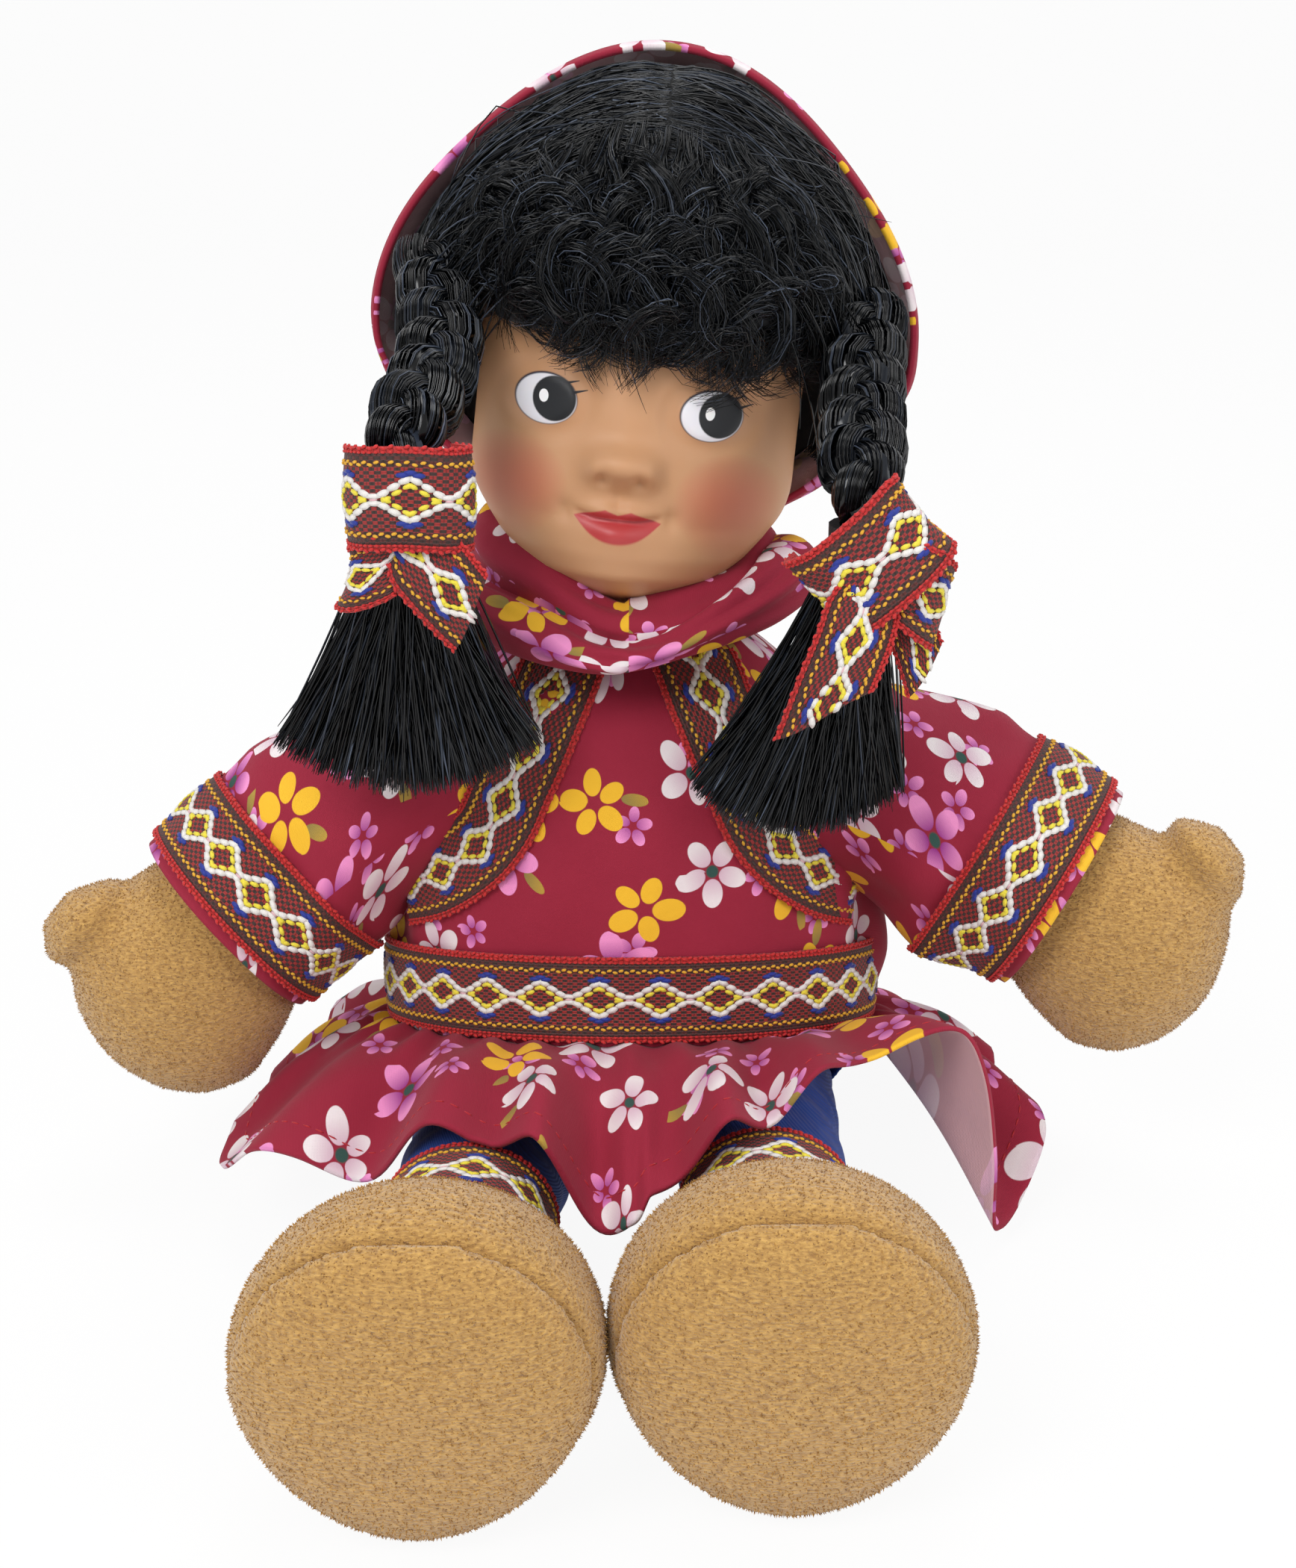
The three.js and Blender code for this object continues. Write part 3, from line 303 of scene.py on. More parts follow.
@contextmanager
def edited(mesh):
    """Opens a mesh for editing and puts the result back."""
    draft = bmesh.new()
    draft.from_mesh(mesh)
    yield draft
    draft.to_mesh(mesh)
    draft.free()


def weld(mesh, distance=1e-6):
    """Merges points that lie together."""
    with edited(mesh) as draft:
        bmesh.ops.remove_doubles(draft, verts=draft.verts, dist=distance)


def thicken(piece, thickness, lining=0):
    """Thickens a sheet inwards; its back takes the material that many slots on."""
    shell = piece.modifiers.new("thickness", "SOLIDIFY")
    shell.thickness = thickness
    shell.offset = -1
    shell.material_offset = lining
    return piece


def finish_with(piece, material):
    """Gives a piece one material in place of those it has."""
    piece.data.materials.clear()
    piece.data.materials.append(material)


def plain_mesh(piece):
    """Turns the evaluated piece into a plain mesh without modifiers."""
    graph = bpy.context.evaluated_depsgraph_get()
    mesh = bpy.data.meshes.new_from_object(piece.evaluated_get(graph))
    piece.modifiers.clear()
    piece.data = mesh
    return piece


def move_points(piece, change):
    """Gives a piece's points their changed places."""
    points = np.array([vertex.co for vertex in piece.data.vertices])
    piece.data.vertices.foreach_set("co", change(points).ravel())
    piece.data.update()


def grid_uv(u, v):
    """Cloth places of a grid from its places along u and v, each as large as the grid, a row or a column."""
    return np.stack(np.broadcast_arrays(u, v), -1)


def fix(piece, body, node=None):
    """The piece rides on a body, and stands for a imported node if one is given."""
    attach(piece, body)
    if node:
        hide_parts(node)
    return piece


def declare_sheet(piece, surface, held, rests_on, edge=None, **more):
    """Works out a sheet's flat size, its widest row or the row given as its edge by its longest column, and
    keeps nothing of it.
    """
    across, fall = surface.spans()
    widths = across[:, -1]
    width = float(widths.max() if edge is None else widths[edge])
    length = float(fall[-1].max())
    area = min(surface.area(), width * length)


# Node trees

def math_method(operation, swapped=False):
    """A method that adds a Math node for a socket and what it is combined with."""
    def method(self, *others):
        sockets = [*others, self] if swapped else [self, *others]
        return self.tree.node("ShaderNodeMath", {"operation": operation}, sockets)
    return method


class Value:
    """A shader socket; the operators on it add Math nodes."""

    def __init__(self, tree, socket):
        self.tree, self.socket = tree, socket

    def out(self, name):
        return Value(self.tree, self.socket.node.outputs[name])

    def clamped(self):
        return self.tree.node("ShaderNodeClamp", {}, [self, 0.0, 1.0])

    __add__ = math_method("ADD")
    __sub__ = math_method("SUBTRACT")
    __rsub__ = math_method("SUBTRACT", swapped=True)
    __mul__ = math_method("MULTIPLY")
    __truediv__ = math_method("DIVIDE")
    __pow__ = math_method("POWER")
    __lt__ = math_method("LESS_THAN")
    __gt__ = math_method("GREATER_THAN")
    __abs__ = math_method("ABSOLUTE")
    arctan2 = math_method("ARCTAN2")
    floor = math_method("FLOOR")
    part = math_method("FRACT")
    sine = math_method("SINE")
    cosine = math_method("COSINE")


class Tree:
    """Adds nodes of any type to a node tree: settings first, then sockets."""

    def __init__(self, nodes, links):
        self.nodes, self.links = nodes, links

    def add(self, kind, settings=None, sockets=()):
        node = self.nodes.new(kind)
        for name, value in (settings or {}).items():
            setattr(node, name, value)
        pairs = sockets.items() if isinstance(sockets, dict) else enumerate(sockets)
        for name, value in pairs:
            if isinstance(value, Value):
                self.links.new(value.socket, node.inputs[name])
            else:
                node.inputs[name].default_value = value
        return node

    def node(self, kind, settings=None, sockets=(), output=0):
        return Value(self, self.add(kind, settings, sockets).outputs[output])

    def mix(self, share, first, second):
        settings = {"data_type": "RGBA"}
        return self.node("ShaderNodeMix", settings, {0: share, 6: first, 7: second}, 2)

    def noise(self, place, scale, detail=2.0):
        return self.node("ShaderNodeTexNoise", {}, {"Vector": place, "Scale": scale, "Detail": detail})

    def vector(self, operation, *sockets):
        return self.node("ShaderNodeVectorMath", {"operation": operation}, sockets)

    def place(self):
        return self.node("ShaderNodeTexCoord", {}, {}, "Object")

    def attribute(self, name, output):
        return self.node("ShaderNodeAttribute", {"attribute_name": name}, {}, output)

    def uv(self, name):
        return self.node("ShaderNodeUVMap", {"uv_map": name})

    def split(self, vector):
        parts = self.node("ShaderNodeSeparateXYZ", {}, [vector])
        return parts, parts.out("Y"), parts.out("Z")

    def bump(self, height, strength, distance):
        sockets = {"Height": height, "Strength": strength, "Distance": distance}
        return self.node("ShaderNodeBump", {}, sockets)


def colour(*screen):
    """A colour written as it looks on a screen, 0 to 255, for the linear sockets."""
    linear = (((c / 255 + 0.055) / 1.055) ** 2.4 if c > 10 else c / 3294 for c in screen)
    return (*linear, 1)


def shaded(name, build):
    """A material whose shader is what build(tree) gives."""
    made = bpy.data.materials.new(name)
    made.use_nodes = True
    made.node_tree.nodes.clear()
    tree = Tree(made.node_tree.nodes, made.node_tree.links)
    tree.add("ShaderNodeOutputMaterial", {}, {"Surface": build(tree)})
    return made


def material(name, paint, **constants):
    """A Principled finish: paint(tree) gives the sockets that vary, constants the others."""
    sockets = {key.replace("_", " "): value for key, value in constants.items()}
    return shaded(name, lambda tree: tree.node("ShaderNodeBsdfPrincipled", {}, {**sockets, **paint(tree)}))


# Finishes

CRIMSON = colour(156, 22, 53)
WHITE = colour(238, 228, 230)
GOLD = colour(243, 188, 40)
PINK = colour(243, 150, 205)
MAGENTA = colour(140, 22, 128)
LEAF = colour(42, 78, 70)

# Flowers of the print: room for one in metres, shift of the pattern, and reach as a share of the room
SMALL_FLOWERS = (0.0175, 3.1, 0.31)
LARGE_FLOWERS = (0.0275, 0.37, 0.37)
WARP_PITCH, WEFT_PITCH = 0.62 * MM, 0.5 * MM


def flowers(tree, u, v, cell, shift, reach):
    """Scattered five-petal flowers: masks of petals, eye and leaf, two chances, the place along a petal."""
    spot = tree.node("ShaderNodeCombineXYZ", {}, {"X": u / cell + shift, "Y": v / cell + shift * 1.7})
    cells = tree.node("ShaderNodeTexVoronoi", {"voronoi_dimensions": "2D"},
                      {"Vector": spot, "Scale": 1.0, "Randomness": 0.55})
    away = tree.vector("SUBTRACT", spot, cells.out("Position"))
    x, y, _ = tree.split(away)
    chance, second, third = tree.split(cells.out("Color"))
    distance = cells.out("Distance")
    turn = y.arctan2(x) / TURN + chance
    petal_number = (turn * 5).floor() + chance * 37
    odd = tree.node("ShaderNodeTexWhiteNoise", {"noise_dimensions": "1D"}, {"W": petal_number}, "Value")
    fold = ((turn * 5).part() - 0.5) * (TURN / 5)
    size = (odd * 0.3 + 0.82) * reach
    along, aside = distance * fold.cosine(), distance * fold.sine()
    petal = 1 - ((along - size * 0.62) / (size * 0.42)) ** 2 - (aside / (size * 0.3)) ** 2
    eye = 1 - distance / (reach * 0.2)
    angle = turn * TURN
    leaf_x = (distance * angle.cosine() - reach * 1.12) / (reach * 0.4)
    leaf_y = (distance * angle.sine() - reach * 0.2) / (reach * 0.17)
    leaf = 1 - leaf_x ** 2 - leaf_y ** 2
    masks = [(mask * sharp).clamped() for mask, sharp in ((petal, 9), (eye, 4), (leaf, 8))]
    return (*masks, second, third, along / reach)


def printed(tree, fade):
    """The flowered cotton; fade mixes it towards the pale back of the cloth."""
    uv = tree.uv("cloth")
    u, v, _ = tree.split(uv)
    cloudy = tree.noise(uv, 45)
    ground = tree.mix(cloudy * 0.5, CRIMSON, colour(133, 16, 44))
    petal, _, _, second, _, along = flowers(tree, u, v, *SMALL_FLOWERS)
    shown = (second < 0.45) * petal
    look = tree.mix(shown, ground, tree.mix(along, MAGENTA, PINK))
    petal, eye, leaf, second, third, along = flowers(tree, u, v, *LARGE_FLOWERS)
    look = tree.mix((third > 0.45) * leaf, look, tree.mix(along * 0.4, LEAF, GOLD))
    streak = (along * 1.5 - 0.25).clamped()
    pale = tree.mix(streak, colour(214, 178, 196), WHITE)
    look_petal = tree.mix(second < 0.34, pale, GOLD)
    look_petal = tree.mix(second > 0.86, look_petal, tree.mix(streak, MAGENTA, PINK))
    look = tree.mix(petal * (third > 0.1), look, look_petal)
    look = tree.mix(eye * (second > 0.34) * (third > 0.1), look, LEAF)
    if fade:
        look = tree.mix(fade, look, colour(240, 206, 208))
    twill = ((u + v * 0.6) * (TURN / WARP_PITCH)).sine() * ((v - u * 0.4) * (TURN / WEFT_PITCH)).sine()
    height = twill * 0.35 + tree.noise(uv, 900) * 0.8 + tree.noise(uv, 70) * 6
    rough = cloudy * 0.12 + 0.78
    return {"Base Color": look, "Roughness": rough, "Normal": tree.bump(height, 0.35, 0.00025)}


# Bricks of the ribbon's weave, and how far from its middle the red stripe ends and the red edge starts
BRICK_TALL, BRICK_LONG = 0.85 * MM, 1.3 * MM
STRIPE_END, EDGE_START = 7.8 * MM, 10.9 * MM


def ribbon_ground(tree):
    """Rep weave of small brown and red bricks, redder along the middle and the edges."""
    u, v, _ = tree.split(tree.uv("ribbon"))
    across = abs(v)
    row = (v / BRICK_TALL).floor()
    brick = (u / BRICK_LONG + row * 0.5).part()
    weft = abs(brick - 0.5) * 2
    red_brick = (u / (2 * BRICK_LONG) + row * 0.5).part() > 0.5
    middle = across < STRIPE_END
    edge = across > EDGE_START
    brown = tree.mix(red_brick * (middle * 0.75 + 0.2), colour(58, 38, 34), colour(158, 38, 36))
    look = tree.mix(edge * 0.85, brown, colour(196, 30, 30))
    look = tree.mix(weft ** 6 * 0.7, look, colour(28, 16, 16))
    rib = (v * (TURN / BRICK_TALL)).sine()
    height = rib * 0.5 - weft ** 4
    return {"Base Color": look, "Roughness": weft * 0.15 + 0.62, "Normal": tree.bump(height, 0.6, 0.0003)}


def thread_paint(tree):
    """Coloured thread, with the colour kept on the stitches themselves."""
    tint = tree.attribute("thread", "Color")
    strands = tree.noise(tree.place(), 3800)
    look = tree.mix(strands * 0.5, tint, tree.mix(0.55, tint, (0, 0, 0, 1)))
    return {"Base Color": look, "Roughness": strands * 0.2 + 0.5, "Normal": tree.bump(strands, 0.4, 0.0002)}


def nap_noise(tree, scale):
    """Noise that is drawn out across, as the nap of plush lies."""
    return tree.noise(tree.vector("MULTIPLY", tree.place(), (0.5, 0.8, 1.4)), scale, 3)


def plush_paint(tree):
    tufts = nap_noise(tree, 1300)
    patches = tree.noise(tree.place(), 60, 3)
    strands = (tufts * 2.2 - 0.6).clamped()
    look = tree.mix(strands, colour(138, 95, 37), colour(214, 169, 91))
    look = tree.mix(patches * 0.4, look, colour(186, 140, 72))
    return {"Base Color": look, "Roughness": tufts * 0.15 + 0.85, "Normal": tree.bump(tufts, 0.8, 0.0009)}


def pile_paint(tree):
    patches = nap_noise(tree, 700)
    tip = tree.attribute("tip", "Fac")
    look = tree.mix(tip, colour(154, 108, 42), colour(224, 177, 94))
    look = tree.mix((patches * 6 - 2.6).clamped() * 0.8, look, colour(124, 82, 30))
    return {"Base Color": look, "Roughness": patches * 0.1 + 0.85}


def hair_paint(tree):
    shade = tree.attribute("shade", "Fac")
    # Painted sheen: a few strands are mixed towards light grey-blue, standing in for highlights along the
    # black hair.
    look = tree.mix(shade ** 5, colour(3, 4, 6), colour(112, 124, 146))
    return {"Base Color": look, "Roughness": shade * 0.1 + 0.15}


def fibre_paint(scale, detail, dark, light, least_rough, strength, depth):
    """The paint of a finish of fine fibres in two shades."""
    def paint(tree):
        fibres = tree.noise(tree.place(), scale, detail)
        look = tree.mix(fibres, dark, light)
        rough = fibres * 0.2 + least_rough
        return {"Base Color": look, "Roughness": rough, "Normal": tree.bump(fibres, strength, depth)}
    return paint


TWILL_PITCH = 0.8 * MM


def twill_paint(tree):
    spot = tree.place()
    x, y, z = tree.split(spot)
    lines = ((x + z + y * 0.3) * (TURN / TWILL_PITCH)).sine()
    cloudy = tree.noise(spot, 90)
    look = tree.mix(cloudy, colour(12, 44, 116), colour(30, 78, 168))
    return {"Base Color": look, "Roughness": cloudy * 0.1 + 0.75, "Normal": tree.bump(lines, 0.4, 0.0002)}


# Painted face: places from the chin on the middle line of the face, in millimetres
EYE_X, EYE_Z = 21.6, 46.2
EYE_HALF = (8.3, 6.5)
IRIS_RADIUS = 5.9
GLANCE = 2.3
LIP_Z, LIP_HALF = 17.6, 13.4
NOSE_Z = 31.6
BLUSH_X, BLUSH_Z = 28.5, 24
BLUSH_HALF = (15, 13)
# Half size of the painted shade round each eye socket
SOCKET_SHADE_HALF = (14, 11)
FACE_ASIDE = -2.6

# Lashes: rise above the middle of the eye and start beside it
LASHES = [(4.3, 4.2), (2.2, 6.6)]
LASH_LENGTH = 4.2


def oval_mask(x, z, centre, half, sharp):
    """0 outside an oval and 1 inside it; the larger sharp is, the harder its edge."""
    inside = 1 - ((x - centre[0]) / half[0]) ** 2 - ((z - centre[1]) / half[1]) ** 2
    return (inside * sharp).clamped()


def vinyl_paint(tree):
    """Vinyl skin with painted eyes that glance aside, lips, blush and lashes, and painted shade round the
    eye sockets.
    """
    x, z, _ = tree.split(tree.uv("face"))
    x, z = x / MM - FACE_ASIDE, z / MM
    spot = tree.place()
    mottled = tree.noise(spot, 35, 3)
    skin = tree.mix(mottled * 0.6, colour(203, 153, 112), colour(193, 142, 101))
    for side in (-1, 1):
        glow = oval_mask(x, z, (side * BLUSH_X, BLUSH_Z), BLUSH_HALF, 1)
        skin = tree.mix(glow * 0.62, skin, colour(196, 86, 70))
        # Painted shade: the skin round each eye is darkened a little, as the shade of its socket would
        # darken it.
        socket = oval_mask(x, z, (side * EYE_X, EYE_Z), SOCKET_SHADE_HALF, 1)
        skin = tree.mix(socket * 0.08, skin, colour(150, 100, 72))
    bow = abs(abs(x) - 3.4) * -0.34 + 2.6
    bend = (x / LIP_HALF) ** 2
    level = z - LIP_Z - bend * 2.0
    upper = (bow - level - bend * 1.5) * 2.2
    lower = (level + 4.8 - bend * 1.4 - bend ** 2 * 4.0) * 2.2
    lips = upper.clamped() * lower.clamped()
    parting = (1 - abs(level + 0.4) / 0.55).clamped()
    look = tree.mix(lips, skin, tree.mix(parting * 0.5, colour(186, 62, 64), colour(120, 32, 38)))
    for side in (-1, 1):
        middle = side * EYE_X
        rim = oval_mask(x, z, (middle, EYE_Z), (EYE_HALF[0] + 0.35, EYE_HALF[1] + 0.35), 9)
        white = oval_mask(x, z, (middle + 0.1, EYE_Z - 0.15), EYE_HALF, 9)
        iris = oval_mask(x, z, (middle + GLANCE, EYE_Z + 0.2), (IRIS_RADIUS, IRIS_RADIUS), 9) * rim
        spark = oval_mask(x, z, (middle - 0.5, EYE_Z + 0.6), (1.3, 1.75), 5)
        look = tree.mix(rim, look, colour(26, 28, 52))
        look = tree.mix(white, look, colour(236, 234, 240))
        look = tree.mix(iris, look, colour(28, 30, 34))
        look = tree.mix(spark, look, colour(250, 250, 250))
        for rise, start in LASHES:
            run = x - (middle + start)
            stroke = 1 - abs(z - EYE_Z - rise - run * 0.28) / (0.55 - run * 0.1)
            lash = (stroke * 3).clamped() * (run > 0) * (run < LASH_LENGTH)
            look = tree.mix(lash, look, colour(22, 20, 28))
    fine = tree.noise(spot, 900, 2)
    gloss = 0.5 - lips * 0.12 + mottled * 0.08
    return {"Base Color": look, "Roughness": gloss, "Normal": tree.bump(fine, 0.06, 0.0002)}


PRINT = material("flowered_cotton", lambda tree: printed(tree, 0), Sheen_Weight=0.05, Sheen_Roughness=0.5)
LINING = material("cotton_back", lambda tree: printed(tree, 0.62), Sheen_Weight=0.1)
RIBBON = material("woven_ribbon", ribbon_ground, Sheen_Weight=0.1)
THREAD = material("coloured_thread", thread_paint, Sheen_Weight=0.15)
PLUSH = material("tan_plush", plush_paint, Sheen_Weight=0.4, Sheen_Roughness=0.6)
PILE = material("tan_pile", pile_paint, Sheen_Weight=0.3)
HAIR = material("rooted_hair", hair_paint, Specular_IOR_Level=0.42)
HAIR_BASE = material("hair_base", fibre_paint(
    420, 4, colour(5, 6, 8), colour(16, 18, 23), 0.5, 0.5, 0.8 * MM))
TWILL = material("blue_twill", twill_paint, Sheen_Weight=0.1)
TIE = material("cotton_tie", fibre_paint(
    900, 3, colour(205, 196, 180), colour(240, 234, 222), 0.6, 0.4, 0.4 * MM))
ELASTIC = material("black_elastic", fibre_paint(
    1200, 2, colour(12, 12, 14), colour(38, 38, 42), 0.6, 0.5, 0.4 * MM))
VINYL = material("painted_vinyl", vinyl_paint,
                 Subsurface_Weight=0.12, Subsurface_Radius=(0.004, 0.002, 0.001))


# Geometry node trees for what repeats

def geometry_tree(name, inputs, build):
    """A geometry tree with named inputs: build(tree, inputs by name) gives the last geometry."""
    group = bpy.data.node_groups.new(name, "GeometryNodeTree")
    group.interface.new_socket("Geometry", in_out="INPUT", socket_type="NodeSocketGeometry")
    for label, kind in inputs.items():
        group.interface.new_socket(label, in_out="INPUT", socket_type="NodeSocket" + kind)
    group.interface.new_socket("Geometry", in_out="OUTPUT", socket_type="NodeSocketGeometry")
    tree = Tree(group.nodes, group.links)
    entry = tree.add("NodeGroupInput")
    given = {socket.name: Value(tree, socket) for socket in entry.outputs if socket.name}
    realized = tree.node("GeometryNodeRealizeInstances", {}, [build(tree, given)])
    sockets = {"Geometry": realized, "Material": given["Material"]}
    tree.add("NodeGroupOutput", {}, [tree.node("GeometryNodeSetMaterial", {}, sockets)])
    return group


def grow(piece, group, **values):
    """Runs a geometry tree on the piece and keeps the result as a plain mesh."""
    step = piece.modifiers.new(group.name, "NODES")
    step.node_group = group
    for item in group.interface.items_tree:
        if item.in_out == "INPUT" and item.name in values:
            step[item.identifier] = values[item.name]
    return plain_mesh(piece)


def read(tree, name, kind):
    """Reads what is stored for each point under a name."""
    return tree.node("GeometryNodeInputNamedAttribute", {"data_type": kind}, {"Name": name})


def stitch_build(tree, given):
    """A small thread bead on every point, lying along one direction and facing another."""
    bead = tree.node("GeometryNodeMeshIcoSphere", {}, {"Radius": 0.5, "Subdivisions": 1})
    bead = tree.node("GeometryNodeSetShadeSmooth", {}, {"Geometry": bead})
    axes = {"Primary Axis": read(tree, "facing", "FLOAT_VECTOR"),
            "Secondary Axis": read(tree, "lying", "FLOAT_VECTOR")}
    turn = tree.node("FunctionNodeAxesToRotation", {"primary_axis": "Z", "secondary_axis": "X"}, axes)
    size = read(tree, "size", "FLOAT_VECTOR")
    return tree.node("GeometryNodeInstanceOnPoints", {}, {
        "Points": given["Geometry"], "Instance": bead, "Rotation": turn, "Scale": size})


def pile_build(tree, given):
    """Short tapered fibres scattered over the faces, leaning a little at random."""
    scatter = tree.add("GeometryNodeDistributePointsOnFaces", {}, {
        "Mesh": given["Geometry"], "Seed": given["Seed"],
        "Density": given["Density"] * read(tree, "pile", "FLOAT")})
    fibre = tree.add("GeometryNodeMeshCone", {}, {
        "Vertices": 3, "Radius Bottom": given["Radius"], "Radius Top": 0.0, "Depth": given["Length"]})
    upright = Value(tree, fibre.outputs["Mesh"])
    rise = tree.split(tree.node("GeometryNodeInputPosition"))[2]
    upright = tree.node("GeometryNodeStoreNamedAttribute", {"data_type": "FLOAT", "domain": "POINT"},
                        {"Geometry": upright, "Name": "tip", "Value": rise / given["Length"]})
    facing = Value(tree, scatter.outputs["Normal"])
    lean = tree.node("FunctionNodeRandomValue", {"data_type": "FLOAT_VECTOR"}, {
        "Min": (-0.75,) * 3, "Max": (0.75,) * 3, "Seed": given["Seed"]})
    leaning = tree.vector("ADD", facing, lean)
    turn = tree.node("FunctionNodeAlignRotationToVector", {"axis": "Z"}, {"Vector": leaning})
    sizes = {2: 0.6, 3: 1.3, "Seed": given["Seed"]}
    size = tree.node("FunctionNodeRandomValue", {"data_type": "FLOAT"}, sizes, 1)
    return tree.node("GeometryNodeInstanceOnPoints", {}, {
        "Points": Value(tree, scatter.outputs["Points"]), "Instance": upright,
        "Rotation": turn, "Scale": size})


def strand_build(tree, given):
    """Three-sided hairs along the edges of the mesh, as thick as their points say."""
    lines = tree.node("GeometryNodeMeshToCurve", {}, {"Mesh": given["Geometry"]})
    round_three = {"Resolution": 3, "Radius": 1.0}
    ring = tree.node("GeometryNodeCurvePrimitiveCircle", {"mode": "RADIUS"}, round_three)
    tubes = {"Curve": lines, "Profile Curve": ring, "Scale": read(tree, "thick", "FLOAT"), "Fill Caps": True}
    return tree.node("GeometryNodeCurveToMesh", {}, tubes)


STITCHES = geometry_tree("thread_stitches", {"Material": "Material"}, stitch_build)
FIBRES = geometry_tree("plush_fibres", {
    "Density": "Float", "Length": "Float", "Radius": "Float",
    "Seed": "Int", "Material": "Material"}, pile_build)
STRANDS = geometry_tree("hair_strands", {"Material": "Material"}, strand_build)


def store(mesh, name, kind, values):
    """Stores a value for each point under a name."""
    layer = mesh.attributes.new(name, kind, "POINT")
    key = {"FLOAT": "value", "FLOAT_VECTOR": "vector", "FLOAT_COLOR": "color"}[kind]
    layer.data.foreach_set(key, np.asarray(values, np.float32).ravel())


def sew(name, places, lying, facing, sizes, colours, body):
    """One mesh of thread stitches: a bead at each place with its own size and colour."""
    mesh = bpy.data.meshes.new(name)
    mesh.from_pydata(np.asarray(places).tolist(), [], [])
    store(mesh, "lying", "FLOAT_VECTOR", lying)
    store(mesh, "facing", "FLOAT_VECTOR", facing)
    store(mesh, "size", "FLOAT_VECTOR", sizes)
    store(mesh, "thread", "FLOAT_COLOR", colours)
    return fix(grow(show(name, mesh), STITCHES, Material=THREAD), body)


def sew_seam(name, surface, rows, columns, size, tint, body, upright=False):
    """A line of equal stitches at shares of a surface's rows and columns."""
    rows, columns = np.broadcast_arrays(rows, columns)
    places, along, down, normals = surface.frame_at(rows, columns)
    sizes = np.tile(np.array(size) * MM, (len(places), 1))
    tints = np.tile(tint, (len(places), 1))
    return sew(name, places, down if upright else along, normals, sizes, tints, body)


def cotton(name, surface, uv, thickness=CLOTH):
    """A piece of flowered cotton with its pale back inside."""
    return thicken(show(name, grid_mesh(name, surface, uv), PRINT, LINING), thickness, 1)


def hair(name, paths, thick, body, node=None, seed=1):
    """Hairs along paths of equal count; each gets its own share of painted sheen and tapers at its ends."""
    paths = np.asarray(paths)
    count, steps = paths.shape[:2]
    index = np.arange(count * steps).reshape(count, steps)
    edges = np.stack([index[:, :-1], index[:, 1:]], -1).reshape(-1, 2)
    mesh = bpy.data.meshes.new(name)
    mesh.from_pydata(paths.reshape(-1, 3).tolist(), edges.tolist(), [])
    source = np.random.default_rng(seed)
    shade = source.beta(1.3, 2.6, count)
    share = np.linspace(0, 1, steps)
    taper = np.clip(np.minimum(share * 8 + 0.5, (1 - share) * 6 + 0.35), 0, 1)
    width = source.uniform(0.75, 1.25, (count, 1)) * taper * thick
    store(mesh, "thick", "FLOAT", width)
    store(mesh, "shade", "FLOAT", np.repeat(shade, steps))
    piece = grow(show(name, mesh), STRANDS, Material=HAIR)
    piece.data.shade_smooth()
    return fix(piece, body, node)


# Woven ribbon: a strip on a surface and the raised threads of its pattern

THREADS = {
    "white": colour(240, 236, 232), "yellow": colour(244, 226, 62), "blue": colour(20, 46, 150),
    "gold": colour(236, 176, 36), "red": colour(206, 28, 28), "pink": colour(236, 190, 196),
}


def ribbon_pattern(length, closed):
    """Raised threads of the pattern: place along and across, slope, size and colour name, in metres."""
    repeats = max(1, round(length / RIBBON_REPEAT)) if closed else length / RIBBON_REPEAT
    repeat = length / repeats if closed else RIBBON_REPEAT
    rows = []
    for number in range(math.ceil(repeats)):
        start = number * repeat
        for flip in (-1, 1):
            for aside in (-1, 1):
                for step in range(3):
                    u = aside * (1.0 + 2.25 * step) * MM
                    v = flip * (4.55 - 1.55 * step) * MM
                    slope = -flip * aside * 0.42
                    inner = start + u - aside * 0.6 * MM, v - flip * 1.35 * MM
                    rows.append((start + u, v, slope, 4.1, 2.0, "white"))
                    rows.append((*inner, slope, 3.2, 1.45, "yellow"))
            for u, v in ((-1.5, 5.75), (1.5, 5.75), (0, 6.35)):
                rows.append((start + u * MM, flip * v * MM, 0, 3.8, 1.6, "blue"))
            rows.append((start + repeat / 2, flip * 0.85 * MM, 0, 4.6, 1.6, "white"))
        rows.append((start + repeat / 2, 0, 0, 2.6, 0.6, "pink"))
    for flip in (-1, 1):
        beads = round(length / (1.45 * MM))
        for bead in range(beads):
            u = (bead + 0.5) / beads * length
            sway = 1 if bead % 2 else -1
            wave = 0.28 * MM * sway
            rows.append((u, flip * 8.5 * MM + wave, 0.25 * sway, 1.7, 0.95, "gold"))
            rows.append((u, flip * 12.2 * MM + wave * 0.7, 0.5 * sway, 1.8, 1.0, "red"))
            rows.append((u, flip * 11.1 * MM, 0, 1.3, 0.8, "red"))
    return [row for row in rows if closed or 0 <= row[0] <= length]


